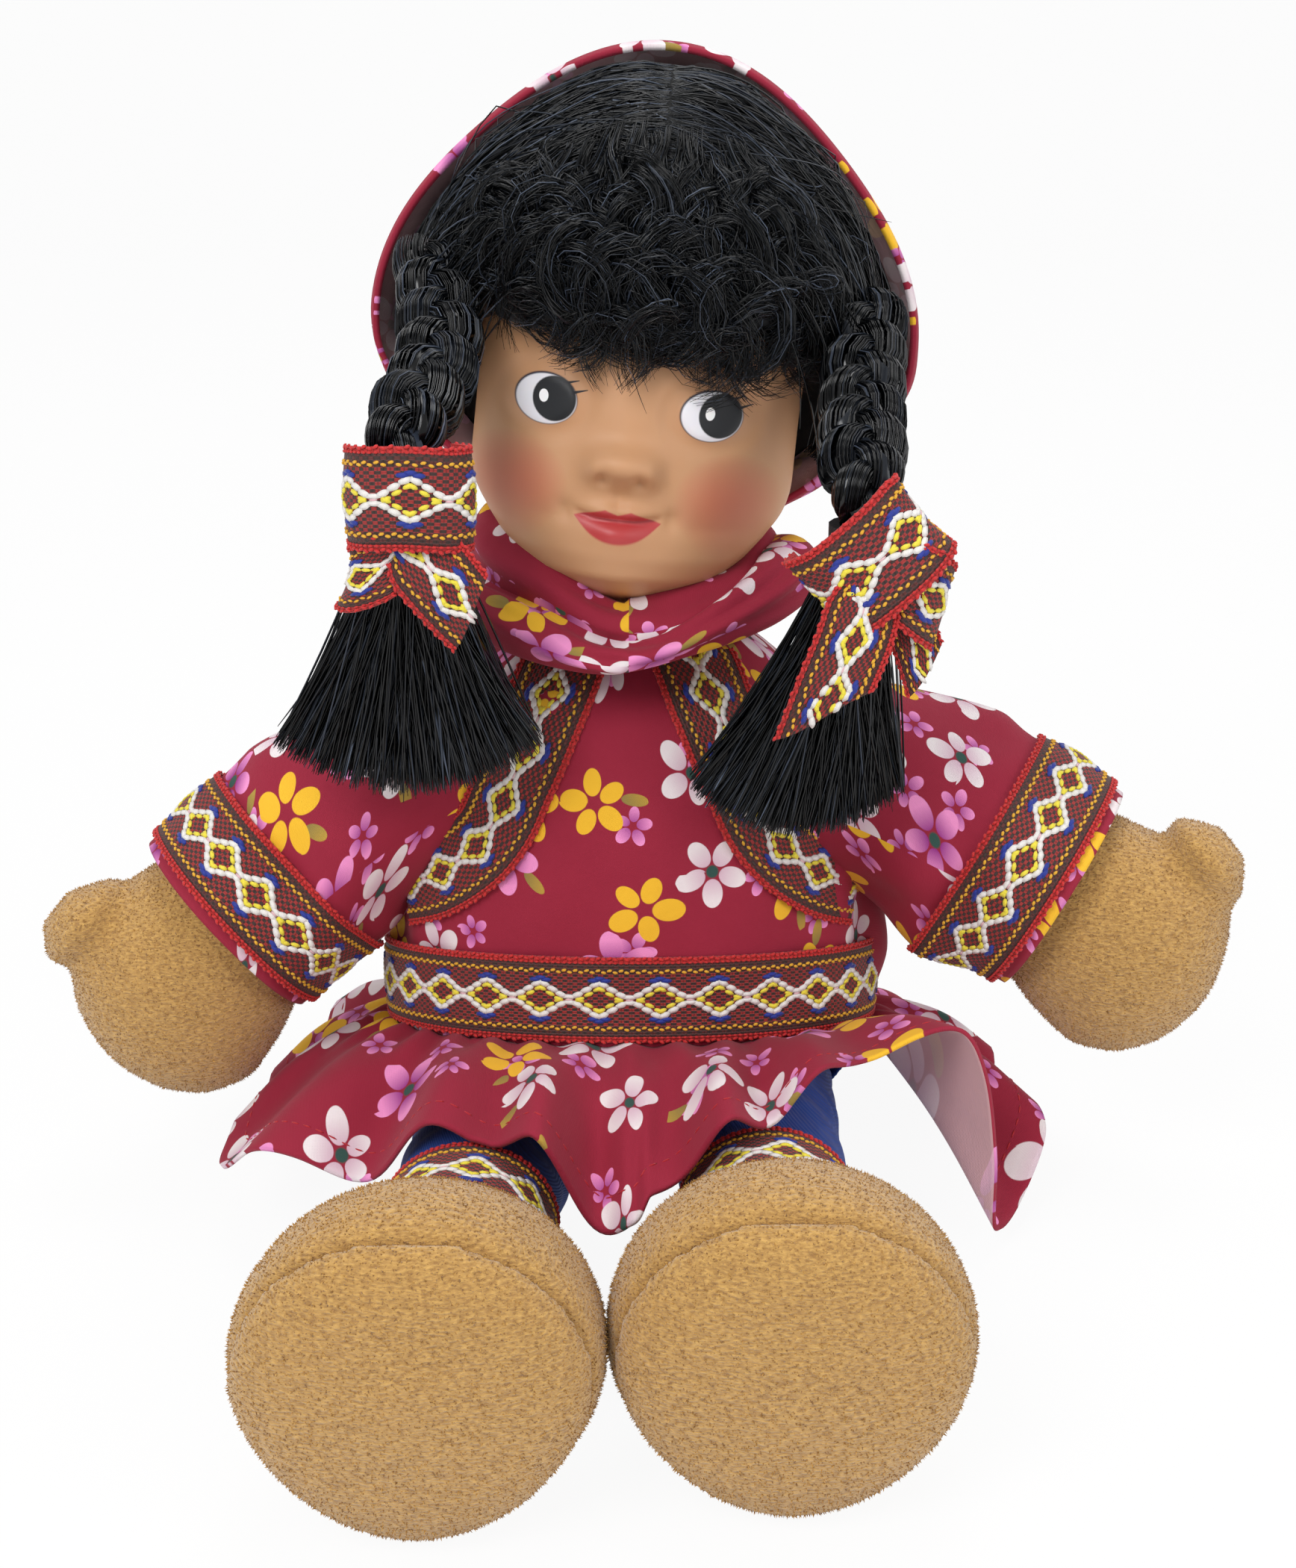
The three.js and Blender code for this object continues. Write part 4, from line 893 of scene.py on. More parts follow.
def lay_ribbon(name, surface, body, node=None, closed=False):
    """A woven ribbon whose rows run across its width and whose columns run along it."""
    across, fall = surface.spans()
    length, width = float(across.mean(0)[-1]), float(fall[-1].mean())
    rows, columns = surface.points.shape[:2]
    u = np.linspace(0, length, columns)
    v = (np.linspace(0, 1, rows) - 0.5)[:, None] * RIBBON_WIDTH
    strip = show(name, grid_mesh(name, surface, grid_uv(u, v), "ribbon"), RIBBON)
    fix(thicken(strip, RIBBON_THICK), body, node)
    *numbers, tints = zip(*ribbon_pattern(length, closed))
    place_u, place_v, slope, long, wide = np.array(numbers)
    place_u = place_u / length
    places, along, down, normals = surface.frame_at(
        place_v / RIBBON_WIDTH + 0.5, place_u % 1 if closed else place_u)
    wide = wide * min(1.0, width / RIBBON_WIDTH + 0.1)
    sizes = np.stack([long, wide, np.full(len(long), THREAD_HEIGHT)], -1) * MM
    threads = sew(name + "_threads", places + normals * THREAD_RISE, unit(along + down * slope[:, None]),
                  normals, sizes, [THREADS[tint] for tint in tints], body)


# Stuffed plush pieces

def soft_copy(name, node, body, finish, voxel=2.2 * MM, rounds=14, swell=0.0):
    """A rounded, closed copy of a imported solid."""
    mesh = frame["nodes"][node].data.copy()
    mesh.materials.clear()
    mesh.name = name
    weld(mesh, 1e-5)
    piece = show(name, mesh, finish)
    remesh = piece.modifiers.new("remesh", "REMESH")
    remesh.mode, remesh.voxel_size, remesh.use_smooth_shade = "VOXEL", voxel, True
    ease = piece.modifiers.new("ease", "SMOOTH")
    ease.factor, ease.iterations = 0.5, rounds
    if swell:
        puff = piece.modifiers.new("puff", "DISPLACE")
        puff.strength, puff.mid_level = swell, 0.0
    plain_mesh(piece)
    finish_with(piece, finish)
    piece.data.shade_smooth()
    return fix(piece, body, node)


# Fibres of the plush: how many stand on a square metre, their length and their radius
PILE_DENSITY = 0.95e6
PILE_LENGTH, PILE_RADIUS = 0.75 * MM, 0.17 * MM


def pile_on(piece, body, share, seed):
    """A coat of short fibres on a plush piece; share says how thick it stands at each point."""
    coat = show(piece.name + "_pile", piece.data.copy())
    points = np.array([vertex.co for vertex in coat.data.vertices])
    store(coat.data, "pile", "FLOAT", share(points))
    grow(coat, FIBRES, Seed=seed, Density=PILE_DENSITY, Length=PILE_LENGTH, Radius=PILE_RADIUS,
         Material=PILE)
    fix(coat, body)


# Trunk: stuffed body, dress, belt and bolero trims

def body_turns(height):
    """Angles in degrees at which the torso's oval is measured."""
    back = [120, 140, 160, 180, 200, 220, 240]
    front = [-40, -28, -15, 0, 15, 28, 40]
    return back + front if height > 60 * MM else back + [100, 260]


trunk = Column(Solid("torso"), TRUNK_Y, np.linspace(8 * MM, 163 * MM, 46), body_turns)

# Place and slope of the belt, from the middles of its front and its back
belt_points = node_points("waist_ribbon")
belt_strip = belt_points[np.abs(belt_points[:, 0]) < 12 * MM]
belt_ends = [belt_strip[belt_strip[:, 1] < -40 * MM], belt_strip[belt_strip[:, 1] > -10 * MM]]
belt_middles = [(end.min(0) + end.max(0)) / 2 for end in belt_ends]
(_, BELT_FRONT_Y, BELT_FRONT_Z), (_, belt_back_y, belt_back_z) = belt_middles
BELT_SLOPE = (BELT_FRONT_Z - belt_back_z) / (belt_back_y - BELT_FRONT_Y)


def belt_height(y):
    """Height of the belt's middle line, which slopes from the front to the back."""
    return BELT_FRONT_Z - BELT_SLOPE * (y - BELT_FRONT_Y)


def belt_ring(turns, rise, offset):
    """Points on the dress a distance above the middle of the belt, measured on the slope."""
    height = np.full_like(turns, BELT_FRONT_Z)
    for _ in range(6):
        height = belt_height(trunk.point(turns, height, offset)[..., 1]) + rise
    return trunk.point(turns, height, offset)


# How far the dress, its trims and its belt stand off the stuffed body, and the stuffing inside the dress
DRESS = 1.9 * MM
TRIM = 3.2 * MM
BELT = 3.5 * MM
STUFFING_GAP = 2 * MM

# Height of the neckline, and the radius that the bodice's print is laid out on
NECKLINE = 160 * MM
BODICE_GIRTH = 66 * MM


def dress_folds(points):
    """Soft creases, deeper at the sides under the arms than at the front."""
    side = smooth(35 * MM, 66 * MM, np.abs(points[..., 0]))
    low = 1 - smooth(60 * MM, 125 * MM, points[..., 2])
    creases = ripples(points * [1, 1, 0.45], 26 * MM, 5)
    return (0.55 + 1.0 * side * (0.4 + low)) * creases * MM


def inside_dress(points):
    """Draws stuffing in, so that it stays under the dress."""
    x, y, z = points.T
    half, front, back = trunk.oval(z)
    middle, depth = (front + back) / 2, (back - front) / 2
    spread = np.hypot(x / (half - STUFFING_GAP), (y - middle) / (depth - STUFFING_GAP))
    pull = 1 / np.maximum(spread, 1)
    return np.stack([x * pull, middle + (y - middle) * pull, z], -1)


def make_bodice():
    turns = circle(144, -np.pi)
    low = belt_ring(turns, -RIBBON_WIDTH * 0.6, DRESS)
    shares = np.linspace(0, 1, 64)[::-1, None]
    points = trunk.point(turns, low[:, 2] * (1 - shares) + NECKLINE * shares, DRESS)
    folds = dress_folds(points) * smooth(0, 0.2, shares)
    surface = Surface(points, CHEST, wrap=True).lifted(wrapped(folds))
    u = np.append(turns, np.pi) * BODICE_GIRTH
    piece = cotton("bodice_cotton", surface, grid_uv(u, surface.points[..., 2]))
    fix(piece, "trunk", "bodice")
    declare_sheet(piece, surface, "stretched", ["torso_stuffed"])


def make_belt():
    turns = circle(180, -np.pi)
    rises = RIBBON_WIDTH * np.linspace(0.5, -0.5, RIBBON_ROWS)
    surface = Surface(np.stack([belt_ring(turns, rise, BELT) for rise in rises]), CHEST, wrap=True)
    lay_ribbon("waist_band", surface, "trunk", "waist_ribbon", closed=True)


# Bolero trim: turn in degrees and height of its middle line, from the neck to the side seam
TRIM_PATH = [(31, 160), (29, 148), (31, 130), (37, 112), (50, 99), (66, 91)]


def make_trims():
    for name, side in SIDE.items():
        path = curve_through(TRIM_PATH, 90)
        turn, height = np.radians(path[:, 0]) * side, path[:, 1] * MM
        girth = trunk.oval(height)[0]
        run = unit(np.stack([np.gradient(turn) * girth, np.gradient(height)], -1))
        rows = [trunk.point(turn - run[:, 1] * aside / girth, height + run[:, 0] * aside, TRIM)
                for aside in np.linspace(-0.5, 0.5, RIBBON_ROWS) * RIBBON_WIDTH]
        lay_ribbon(f"bolero_band_{name}", Surface(rows, CHEST), "trunk",
                   f"bolero_trim_{name}")


# Closing at the back: half the turn that it covers in radians, its rise off the dress, heights of its ends
# and the stitches in each seam
FLAP_TURN = 0.125
FLAP_RISE = 0.9 * MM
FLAP_TOP, FLAP_LOW = 158 * MM, 62 * MM
FLAP_STITCHES = 34


def make_placket():
    heights = np.linspace(FLAP_TOP, FLAP_LOW, 40)[:, None]
    turns = np.pi + np.linspace(-FLAP_TURN, FLAP_TURN, 9)
    surface = Surface(trunk.point(turns, heights, DRESS + FLAP_RISE), CHEST)
    across, fall = surface.spans()
    uv = grid_uv(across - across[:, 4:5] + 0.13, 0.02 - fall)
    piece = cotton("back_flap", surface, uv, CLOTH * 0.8)
    fix(piece, "trunk", "back_placket")
    rows = np.tile(np.linspace(0.01, 0.99, FLAP_STITCHES), 2)
    columns = np.repeat([0.12, 0.88], FLAP_STITCHES)
    threads = sew_seam("back_flap_threads", surface, rows, columns, (2.0, 0.6, 0.5),
                       colour(120, 14, 40), "trunk", upright=True)
    declare_sheet(piece, surface, "stretched", ["bodice_cotton"], with_pieces=[threads])


# Skirt hem: turn of the waist point in degrees, then the hem point in millimetres
SKIRT_HEM = [
    (-180, 0, 60, 7), (-158, -32, 56, 12), (-138, -68, 42, 5), (-118, -96, 14, 14), (-102, -110, -20, 8),
    (-92, -110, -46, 17), (-82, -112, -72, 22), (-74, -115, -91, 29), (-66, -104, -103, 36),
    (-58, -88, -112, 37), (-48, -70, -121, 43), (-36, -51, -131, 58), (-24, -32, -139, 64),
    (-13, -17, -146, 58), (-5, -5, -150, 43), (1, 1, -149, 40), (5, 6, -146, 52), (12, 18, -142, 61),
    (22, 31, -136, 66), (33, 44, -127, 68), (40, 53, -120, 71), (46, 63, -112, 74), (52, 76, -104, 74),
    (57, 88, -99, 68), (60, 95, -98, 52), (62, 99, -98, 28), (64, 101, -97, 6), (69, 110, -88, 12),
    (75, 119, -76, 29), (84, 114, -58, 22), (94, 112, -34, 9), (106, 108, -12, 16), (120, 94, 18, 6),
    (138, 68, 42, 13), (158, 34, 56, 5),
]

# Folds of the skirt: how many of each kind and their height in millimetres
GATHERS, GATHER_HEIGHT = 34, 1.5
PLEATS, PLEAT_HEIGHT = 18, 5.2

# Rise of the skirt between its waist and its hem, its least height and the pitch of its stitches
SKIRT_PUFF = 6 * MM
SKIRT_LOWEST = 2.6 * MM
SKIRT_STITCH = 4.2 * MM

# Radius of the ring that the skirt's print is laid out on, and the scale of that print
SKIRT_RING, SKIRT_PRINT = 72 * MM, 0.84

# Radius of the clothed leg at the hip and its loss on the way to the ankle, in millimetres
LEG_ROOM, LEG_ROOM_LOSS = 27.5, 3.4


def leg_top(points):
    """Height that cloth needs to clear the clothed legs under it."""
    height = np.zeros(points.shape[:-1])
    for name in SIDE:
        hip = JOINT[f"leg_swing_{name}"]
        ankle = node_points(f"ankle_ribbon_{name}").mean(0)
        run = np.clip((hip[1] - points[..., 1]) / (hip[1] - ankle[1]), 0, 1.2)
        middle = hip + (ankle - hip) * run[..., None]
        radius = (LEG_ROOM - LEG_ROOM_LOSS * run) * MM
        aside = (points[..., 0] - middle[..., 0]) / radius
        crown = middle[..., 2] + radius * np.sqrt(np.clip(1 - aside ** 2, 0, 1))
        over_leg = (np.abs(aside) < 1) & (points[..., 1] < hip[1])
        height = np.maximum(height, np.where(over_leg, crown, 0))
    return height


def make_skirt():
    rows = np.array(SKIRT_HEM, float)
    path = curve_through(np.concatenate([rows, rows[:1] + [[360, 0, 0, 0]]]), 361)[:-1]
    turns, hem = np.radians(path[:, 0]), path[:, 1:] * MM
    waist = belt_ring(turns, -RIBBON_WIDTH * 0.53, DRESS + 0.5 * MM)
    down = np.linspace(0, 1, 44)[:, None]
    ease = down ** 1.15
    points = waist * (1 - down[..., None]) + hem * down[..., None]
    points[..., 2] = waist[:, 2] * (1 - ease) + hem[:, 2] * ease
    points[..., 2] += SKIRT_PUFF * np.sin(np.pi * down) * (1 - 0.4 * down)
    gather = np.cos(turns * GATHERS) * hump(down, 0.12, 0.2) * GATHER_HEIGHT
    pleat = np.cos(turns * PLEATS + 1.3 * np.sin(turns * 3)) * smooth(0.03, 0.8, down) * PLEAT_HEIGHT
    outward = unit((hem - waist) * [1, 1, 0])
    points += outward * (gather * 0.4 + pleat * 0.35)[..., None] * MM
    points[..., 2] += (gather + pleat) * MM
    points[..., 2] = np.maximum(points[..., 2], leg_top(points) + CLOTH)
    points[..., 2] = np.maximum(points[..., 2], SKIRT_LOWEST)
    surface = Surface(points, BELOW_SKIRT, wrap=True)
    across, fall = surface.spans()
    ring = SKIRT_RING + fall
    turn = np.append(turns, turns[0] + TURN)
    uv = grid_uv(ring * np.sin(turn), -ring * np.cos(turn)) * SKIRT_PRINT
    piece = cotton("skirt_cotton", surface, uv)
    fix(piece, "trunk", "peplum")
    station = across[-1] / across[-1, -1]
    count = round(across[-1, -1] / SKIRT_STITCH)
    column = np.interp((np.arange(count) + 0.5) / count, station, np.linspace(0, 1, len(station)))
    row = 1 - HEM / float(fall[-1].mean())
    threads = sew_seam("skirt_hem_threads", surface, row, column, (3.0, 0.55, 0.5),
                       colour(190, 16, 34), "trunk")
    declare_sheet(piece, surface, "gathered", ["trouser_leg_right"], edge=-1, with_pieces=[threads])


# Height below which the stuffed body shows the cloth of the trousers
TROUSER_LINE = 50 * MM


def make_trunk():
    torso = soft_copy("torso_stuffed", "torso", "trunk", PLUSH, 4 * MM, 6, -0.5 * MM)
    move_points(torso, inside_dress)
    torso.data.materials.append(TWILL)
    for face in torso.data.polygons:
        face.material_index = int(face.center.z < TROUSER_LINE)
    soft_copy("trouser_seat_cloth", "trouser_seat", "trunk", TWILL, 1.0 * MM, 2)
    make_bodice()
    make_belt()
    make_trims()
    make_placket()
    make_skirt()
    finish_with(frame["nodes"]["neck_tie"], TIE)


# Arms

# Armhole: half its depth, and its reach above and below the shoulder
ARMHOLE_DEPTH = 31 * MM
ARMHOLE_RISE, ARMHOLE_FALL = 29 * MM, 33 * MM
SLEEVE_CREASE = 2.6 * MM
CUFF_FROM_HEM = 3.2 * MM


class Arm:
    """Axis, size and directions of one arm, read from its sleeve and cuff."""

    def __init__(self, name):
        self.side, self.body = SIDE[name], f"{name}_arm"
        self.shoulder = JOINT[f"arm_lift_{name}"]
        self.axis = unit(node_points(f"cuff_ribbon_{name}").mean(0) - self.shoulder)
        sleeve = node_points(f"sleeve_{name}") - self.shoulder
        along = sleeve @ self.axis
        self.length = along.max()
        self.radius = np.linalg.norm(sleeve - along[:, None] * self.axis, axis=1).max()
        self.up = unit(np.array([0, 0, 1.0]) - self.axis[2] * self.axis)
        self.fore = unit(np.cross(self.axis, self.up)) * self.side

    def ring(self, distance, angles, radius):
        out = np.cos(angles)[..., None] * self.fore + np.sin(angles)[..., None] * self.up
        return self.shoulder + distance[..., None] * self.axis + out * radius[..., None]

    def sleeve_points(self, shares, angles, offset=0.0):
        """Points from the armhole on the bodice to the sleeve's hem."""
        shares, angles = np.broadcast_arrays(shares, angles)
        fore, up = np.cos(angles), np.sin(angles)
        y = self.shoulder[1] - ARMHOLE_DEPTH * fore
        z = self.shoulder[2] + np.where(up > 0, ARMHOLE_RISE, ARMHOLE_FALL) * up
        hole = np.stack([self.side * (trunk.side_at(y, z) + DRESS - 1.5 * MM), y, z], -1)
        crease = ripples(np.stack([shares * 2.2, fore, up], -1), 1.25, 21 + self.side)
        loose = smooth(0.1, 0.45, shares) * (1 - 0.75 * smooth(0.6, 0.9, shares))
        radius = self.radius + offset + crease * loose * SLEEVE_CREASE
        tube = self.ring(shares * self.length, angles, radius)
        blend = smooth(-0.05, 0.42, shares)[..., None]
        return hole * (1 - blend) + tube * blend


def make_arm(name):
    arm = Arm(name)
    angles = circle(96) * arm.side
    points = arm.sleeve_points(np.linspace(0, 1, 56)[:, None], angles)
    inside = arm.shoulder + arm.axis * arm.length / 2
    surface = Surface(points, inside, wrap=True)
    u = np.append(angles, TURN * arm.side) * arm.radius + 0.35 * arm.side
    sleeve = cotton(f"sleeve_cotton_{name}", surface, grid_uv(u, -surface.spans()[1] + 0.4))
    start, end = arm.shoulder - arm.axis * 6 * MM, arm.shoulder + arm.axis * 26 * MM
    tuple(start)
    tuple(end)
    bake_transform(sleeve)
    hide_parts(f"sleeve_{name}")
    declare_sheet(sleeve, surface, "hung", [f"arm_plush_{name}"])

    edge = 1 - CUFF_FROM_HEM / arm.length
    band = np.linspace(edge - RIBBON_WIDTH / arm.length, edge, RIBBON_ROWS)[:, None]
    cuff = Surface(arm.sleeve_points(band, circle(120) * arm.side, 1.4 * MM), inside, wrap=True)
    lay_ribbon(f"cuff_band_{name}", cuff, arm.body,
               f"cuff_ribbon_{name}", closed=True)

    plush = soft_copy(f"arm_plush_{name}", f"arm_{name}", arm.body, PLUSH)

    def slimmed(points):
        """Narrows the arm towards the shoulder, inside the sleeve."""
        along = (points - arm.shoulder) @ arm.axis
        middle = arm.shoulder + along[:, None] * arm.axis
        slim = 1 - 0.65 * (1 - smooth(arm.length * 0.1, arm.length * 0.85, along))
        return middle + (points - middle) * slim[:, None]

    def squared_thumb(points):
        """Broadens the thumb and cuts its tip flat, as the seam there does."""
        out = unit([arm.side * 0.75, 0, 0.65])
        hand = points[(points - arm.shoulder) @ arm.axis > arm.length].mean(0)
        reach = (points - hand) @ out
        top = reach.max()
        tip = points[reach > 0.86 * top].mean(0)
        core = tip + ((points - tip) @ out)[:, None] * out
        wide = core + (points - core) * (1 + 0.5 * hump(reach / top, 0.77, 0.13))[:, None]
        return wide - np.maximum(reach - 0.95 * top, 0)[:, None] * out

    def outside_sleeve(points):
        return smooth(-9 * MM, -6 * MM, (points - arm.shoulder) @ arm.axis - arm.length)

    move_points(plush, slimmed)
    move_points(plush, squared_thumb)
    pile_on(plush, arm.body, outside_sleeve, 31 + arm.side)


# Legs

# Trouser leg: radius at the hip and its loss on the way to the hem, in millimetres, and its rounded top
TROUSER_RADIUS, TROUSER_LOSS = 24.6, 4.4
TROUSER_TOP_RADIUS, TROUSER_TOP_DEPTH = 24.4 * MM, 23.2 * MM
TROUSER_CREASE = 0.7 * MM
LEG_TOP = 10 * MM
FOOT_HEIGHT = 84 * MM


def make_leg(name):
    body = f"{name}_leg"
    hip = JOINT[f"leg_swing_{name}"]
    band = node_points(f"ankle_ribbon_{name}")
    near, far = band[:, 1].max(), band[:, 1].min()
    axis = band.mean(0) - hip
    axis /= -axis[1]
    angles = circle(96)
    ring = np.stack([np.cos(angles), 0 * angles, np.sin(angles)], -1)
    foot_x = node_points(f"foot_{name}").mean(0)[0]

    def drawn_in(points):
        """Draws the rounded top of the leg in, under the trousers."""
        share = 1 - 0.08 * smooth(-LEG_TOP, LEG_TOP, points[:, 1] - hip[1])
        return hip + (points - hip) * share[:, None]

    def tube(y, offset):
        """Rings of the trouser leg at places along y."""
        distance = hip[1] - y
        radius = (TROUSER_RADIUS - TROUSER_LOSS * distance / (hip[1] - far)) * MM + offset
        return (hip + distance[:, None] * axis)[:, None] + radius[:, None, None] * ring

    def widened(points):
        """Widens the upper half of a foot and narrows the lower."""
        x, y, z = points.T
        wide = 1 + 0.11 * (z / FOOT_HEIGHT - 0.5)
        return np.stack([foot_x + (x - foot_x) * wide, y, z], -1)

    leg = soft_copy(f"leg_plush_{name}", f"leg_{name}", body, PLUSH, 3 * MM, 8)
    move_points(leg, drawn_in)

    round_top = np.radians(np.linspace(88, 6, 16))[:, None, None]
    dome = hip + TROUSER_TOP_RADIUS * np.cos(round_top) * ring
    dome = dome + np.sin(round_top) * [0, TROUSER_TOP_DEPTH, 0]
    points = np.concatenate([dome, tube(np.linspace(hip[1] - 2 * MM, far - 1 * MM, 60), 0)])
    crease = ripples(points * [1, 1.6, 1], 24 * MM, 8 + SIDE[name])
    inside = hip + axis * 50 * MM
    surface = Surface(points, inside, wrap=True).lifted(wrapped(crease) * TROUSER_CREASE)
    cloth = show(f"trouser_cloth_{name}", grid_mesh(f"trouser_cloth_{name}", surface), TWILL)
    fix(thicken(cloth, CLOTH), body, f"trouser_leg_{name}")
    declare_sheet(cloth, surface, "hung", [f"leg_plush_{name}"])

    ankle = Surface(tube(np.linspace(near, far, RIBBON_ROWS), 1.6 * MM), inside, wrap=True)
    lay_ribbon(f"ankle_band_{name}", ankle, body,
               f"ankle_ribbon_{name}", closed=True)

    for part, node in (("foot_plush", "foot"), ("sole_plush", "sole")):
        plush = soft_copy(f"{part}_{name}", f"{node}_{name}", body, PLUSH, 2.0 * MM, 16, 0.6 * MM)
        move_points(plush, widened)
        pile_on(plush, body, lambda points: np.ones(len(points)), 41 + SIDE[name] + len(part))


# Head

HEAD_TIP = (Matrix.Translation(Vector(HEAD_PIVOT))
            @ Matrix.Rotation(math.radians(HEAD_PITCH), 4, "X")
            @ Matrix.Rotation(math.radians(HEAD_ROLL), 4, "Y")
            @ Matrix.Translation(Vector(-HEAD_PIVOT) + Vector((HEAD_SHIFT, 0, 0))))


def on_head(points):
    """Tilts points of the upright head with it."""
    return moved(points, HEAD_TIP)


def off_head(points):
    """Takes points of the tilted head back upright."""
    return moved(points, HEAD_TIP.inverted())


def head_turns(_):
    """Angles in degrees at which the head's oval is measured, clear of the face."""
    return [*range(32, 150, 8), *range(210, 330, 8), 165, 180, 195]


CROWN = off_head(node_points("head_shell"))[:, 2].max()
skull = Column(Solid("head_shell", HEAD_TIP), HEAD_MIDDLE[1],
               np.linspace(CHIN + 3 * MM, CROWN - 3 * MM, 40), head_turns)


def face_relief(x, z):
    """How far the face stands forward of its oval, with x and z in millimetres from the chin."""
    aside = np.abs(x)
    nose = 7.0 * np.exp(-(aside / 8.8) ** 3 - (np.abs(z - NOSE_Z) / 5.0) ** 2.4)
    wings = 1.7 * hump(aside, 8.0, 2.5) * hump(z, NOSE_Z - 1, 3.2)
    bridge = 1.4 * hump(x, 0, 6.5) * hump(z, NOSE_Z + 9, 8)
    nostril = -2.6 * hump(aside, 4.7, 1.7) * hump(z, NOSE_Z - 3.6, 1.5)
    groove = -0.9 * hump(x, 0, 1.9) * hump(z, NOSE_Z - 8.2, 2.6)
    upper = 2.1 * hump(aside, 3.4, 4.9) * hump(z, LIP_Z + 2.1, 2.2)
    lower = 2.6 * hump(x, 0, 6.4) * hump(z, LIP_Z - 2.9, 2.6)
    parting = -1.5 * hump(z, LIP_Z - 0.4 + 0.012 * x ** 2, 0.9) * (1 - smooth(9.5, 12.5, aside))
    corner = -1.3 * hump(aside, 13.9, 2.4) * hump(z, LIP_Z + 1.2, 2.6)
    chin = 2.0 * hump(x, 0, 10) * hump(z, 6.5, 5)
    cheek = 2.2 * hump(aside, 22, 11) * hump(z, 22, 12)
    eye = ((aside - EYE_X) / EYE_HALF[0]) ** 2 + ((z - EYE_Z) / EYE_HALF[1]) ** 2
    lids = 0.8 * (1 - smooth(0.75, 1.15, eye)) - 0.9 * hump(eye, 1.9, 0.9)
    lips = upper + lower + parting + corner
    return (nose + wings + bridge + nostril + groove + lips + chin + cheek + lids) * MM


def full_cheeks(points):
    """Rounds the lower face out: wide cheeks over a broad chin."""
    rise = (points[..., 2] - CHIN) / MM
    fuller = 1.2 + 6.2 * hump(rise, 15, 14) + 1.2 * hump(rise, 30, 12)
    grown = points.copy()
    grown[..., 0] *= 1 + fuller * MM / skull.oval(points[..., 2])[0]
    return grown


def cap_ends(mesh):
    """Closes the small holes that a grid leaves at its first and last rows."""
    weld(mesh, 2e-5)
    with edited(mesh) as shell:
        bmesh.ops.holes_fill(shell, edges=[edge for edge in shell.edges if edge.is_boundary], sides=400)
    mesh.shade_smooth()


# Neck: radius and height of its profile in millimetres, from inside the head down to the flange
NECK_PROFILE = [(16.4, 205), (16.4, 190), (16.2, 172), (14.8, 168), (14.8, 158), (16.4, 153),
                (20.3, 152), (20.3, 148.2), (14, 148.2)]
NECK_WALL = 2 * MM

# The face is painted by its place; these add to the place, to keep the paint off the back and the neck
BEHIND_FACE, NECK_PLACE = 1.0, 2.0


def make_head():
    share = 0.5 - 0.5 * np.cos(np.pi * np.linspace(0, 1, 150))
    heights = (CHIN + 0.2 * MM) + (CROWN - CHIN - 0.4 * MM) * share
    step = circle(240, -np.pi)
    turns = step - 0.45 * np.sin(step)
    points = skull.point(turns, heights[:, None])
    for edge, pole in ((skull.heights[0], CHIN), (skull.heights[-1], CROWN)):
        past = np.clip((heights - edge) / (pole - edge), 0, 1)[:, None, None]
        _, front, back = skull.oval(edge)
        middle = np.array([0, (front + back) / 2, 0])
        flat = points * [1, 1, 0]
        points = middle + (flat - middle) * np.sqrt(1 - past ** 2) + points * [0, 0, 1]
    points = full_cheeks(points)
    relief = face_relief(points[..., 0] / MM - FACE_ASIDE, (points[..., 2] - CHIN) / MM)
    points[..., 1] -= relief * smooth(0.1, 0.55, np.cos(turns))
    u = points[..., 0] + np.where(np.cos(turns) > -0.05, 0, BEHIND_FACE)
    uv = grid_uv(wrapped(u), wrapped(points[..., 2] - CHIN))
    fore = smooth(18 * MM, 42 * MM, -points[..., 1])
    points[..., 2] -= CHIN_DROP * fore * (1 - smooth(-2 * MM, 17 * MM, points[..., 2] - CHIN))
    surface = Surface(on_head(points), on_head(HEAD_MIDDLE), wrap=True)
    mesh = grid_mesh("head_vinyl", surface, uv, "face")
    cap_ends(mesh)
    fix(show("head_vinyl", mesh, VINYL), "head", "head_shell")


def make_neck():
    radius, height = np.array(NECK_PROFILE).T[..., None] * MM
    around = circle(48)
    x, y = HEAD_PIVOT[0] + radius * np.cos(around), HEAD_PIVOT[1] + radius * np.sin(around)
    points = np.stack(np.broadcast_arrays(x, y, height), -1)
    surface = Surface(points, (*HEAD_PIVOT[:2], 180 * MM), wrap=True)
    uv = np.full(surface.points.shape[:2] + (2,), NECK_PLACE)
    piece = show("neck_vinyl", grid_mesh("neck_vinyl", surface, uv, "face"), VINYL)
    fix(thicken(piece, NECK_WALL), "head")


# Hair: an oval over the skull carries the combed hair, the fringe and the side locks

HAIR_CENTRE = np.array([0, -17.1, 240.15]) * MM
HAIR_RADII = np.array([56, 51.5, 71.9]) * MM

# Hood: its reach from the same centre to the side, the back, below and above, and the share that it draws
# in between them
HOOD_SIDE, HOOD_BACK, HOOD_FALL = 73.6 * MM, 57.3 * MM, 57.9 * MM
HOOD_TOP = off_head(node_points("hood"))[:, 2].max() - HAIR_CENTRE[2]
HOOD_PEAK = 0.07


def on_hair(directions, lift):
    """Points on the oval of the hair, lifted by a share of its radii."""
    return HAIR_CENTRE + unit(directions) * HAIR_RADII * (1 + np.asarray(lift)[..., None])


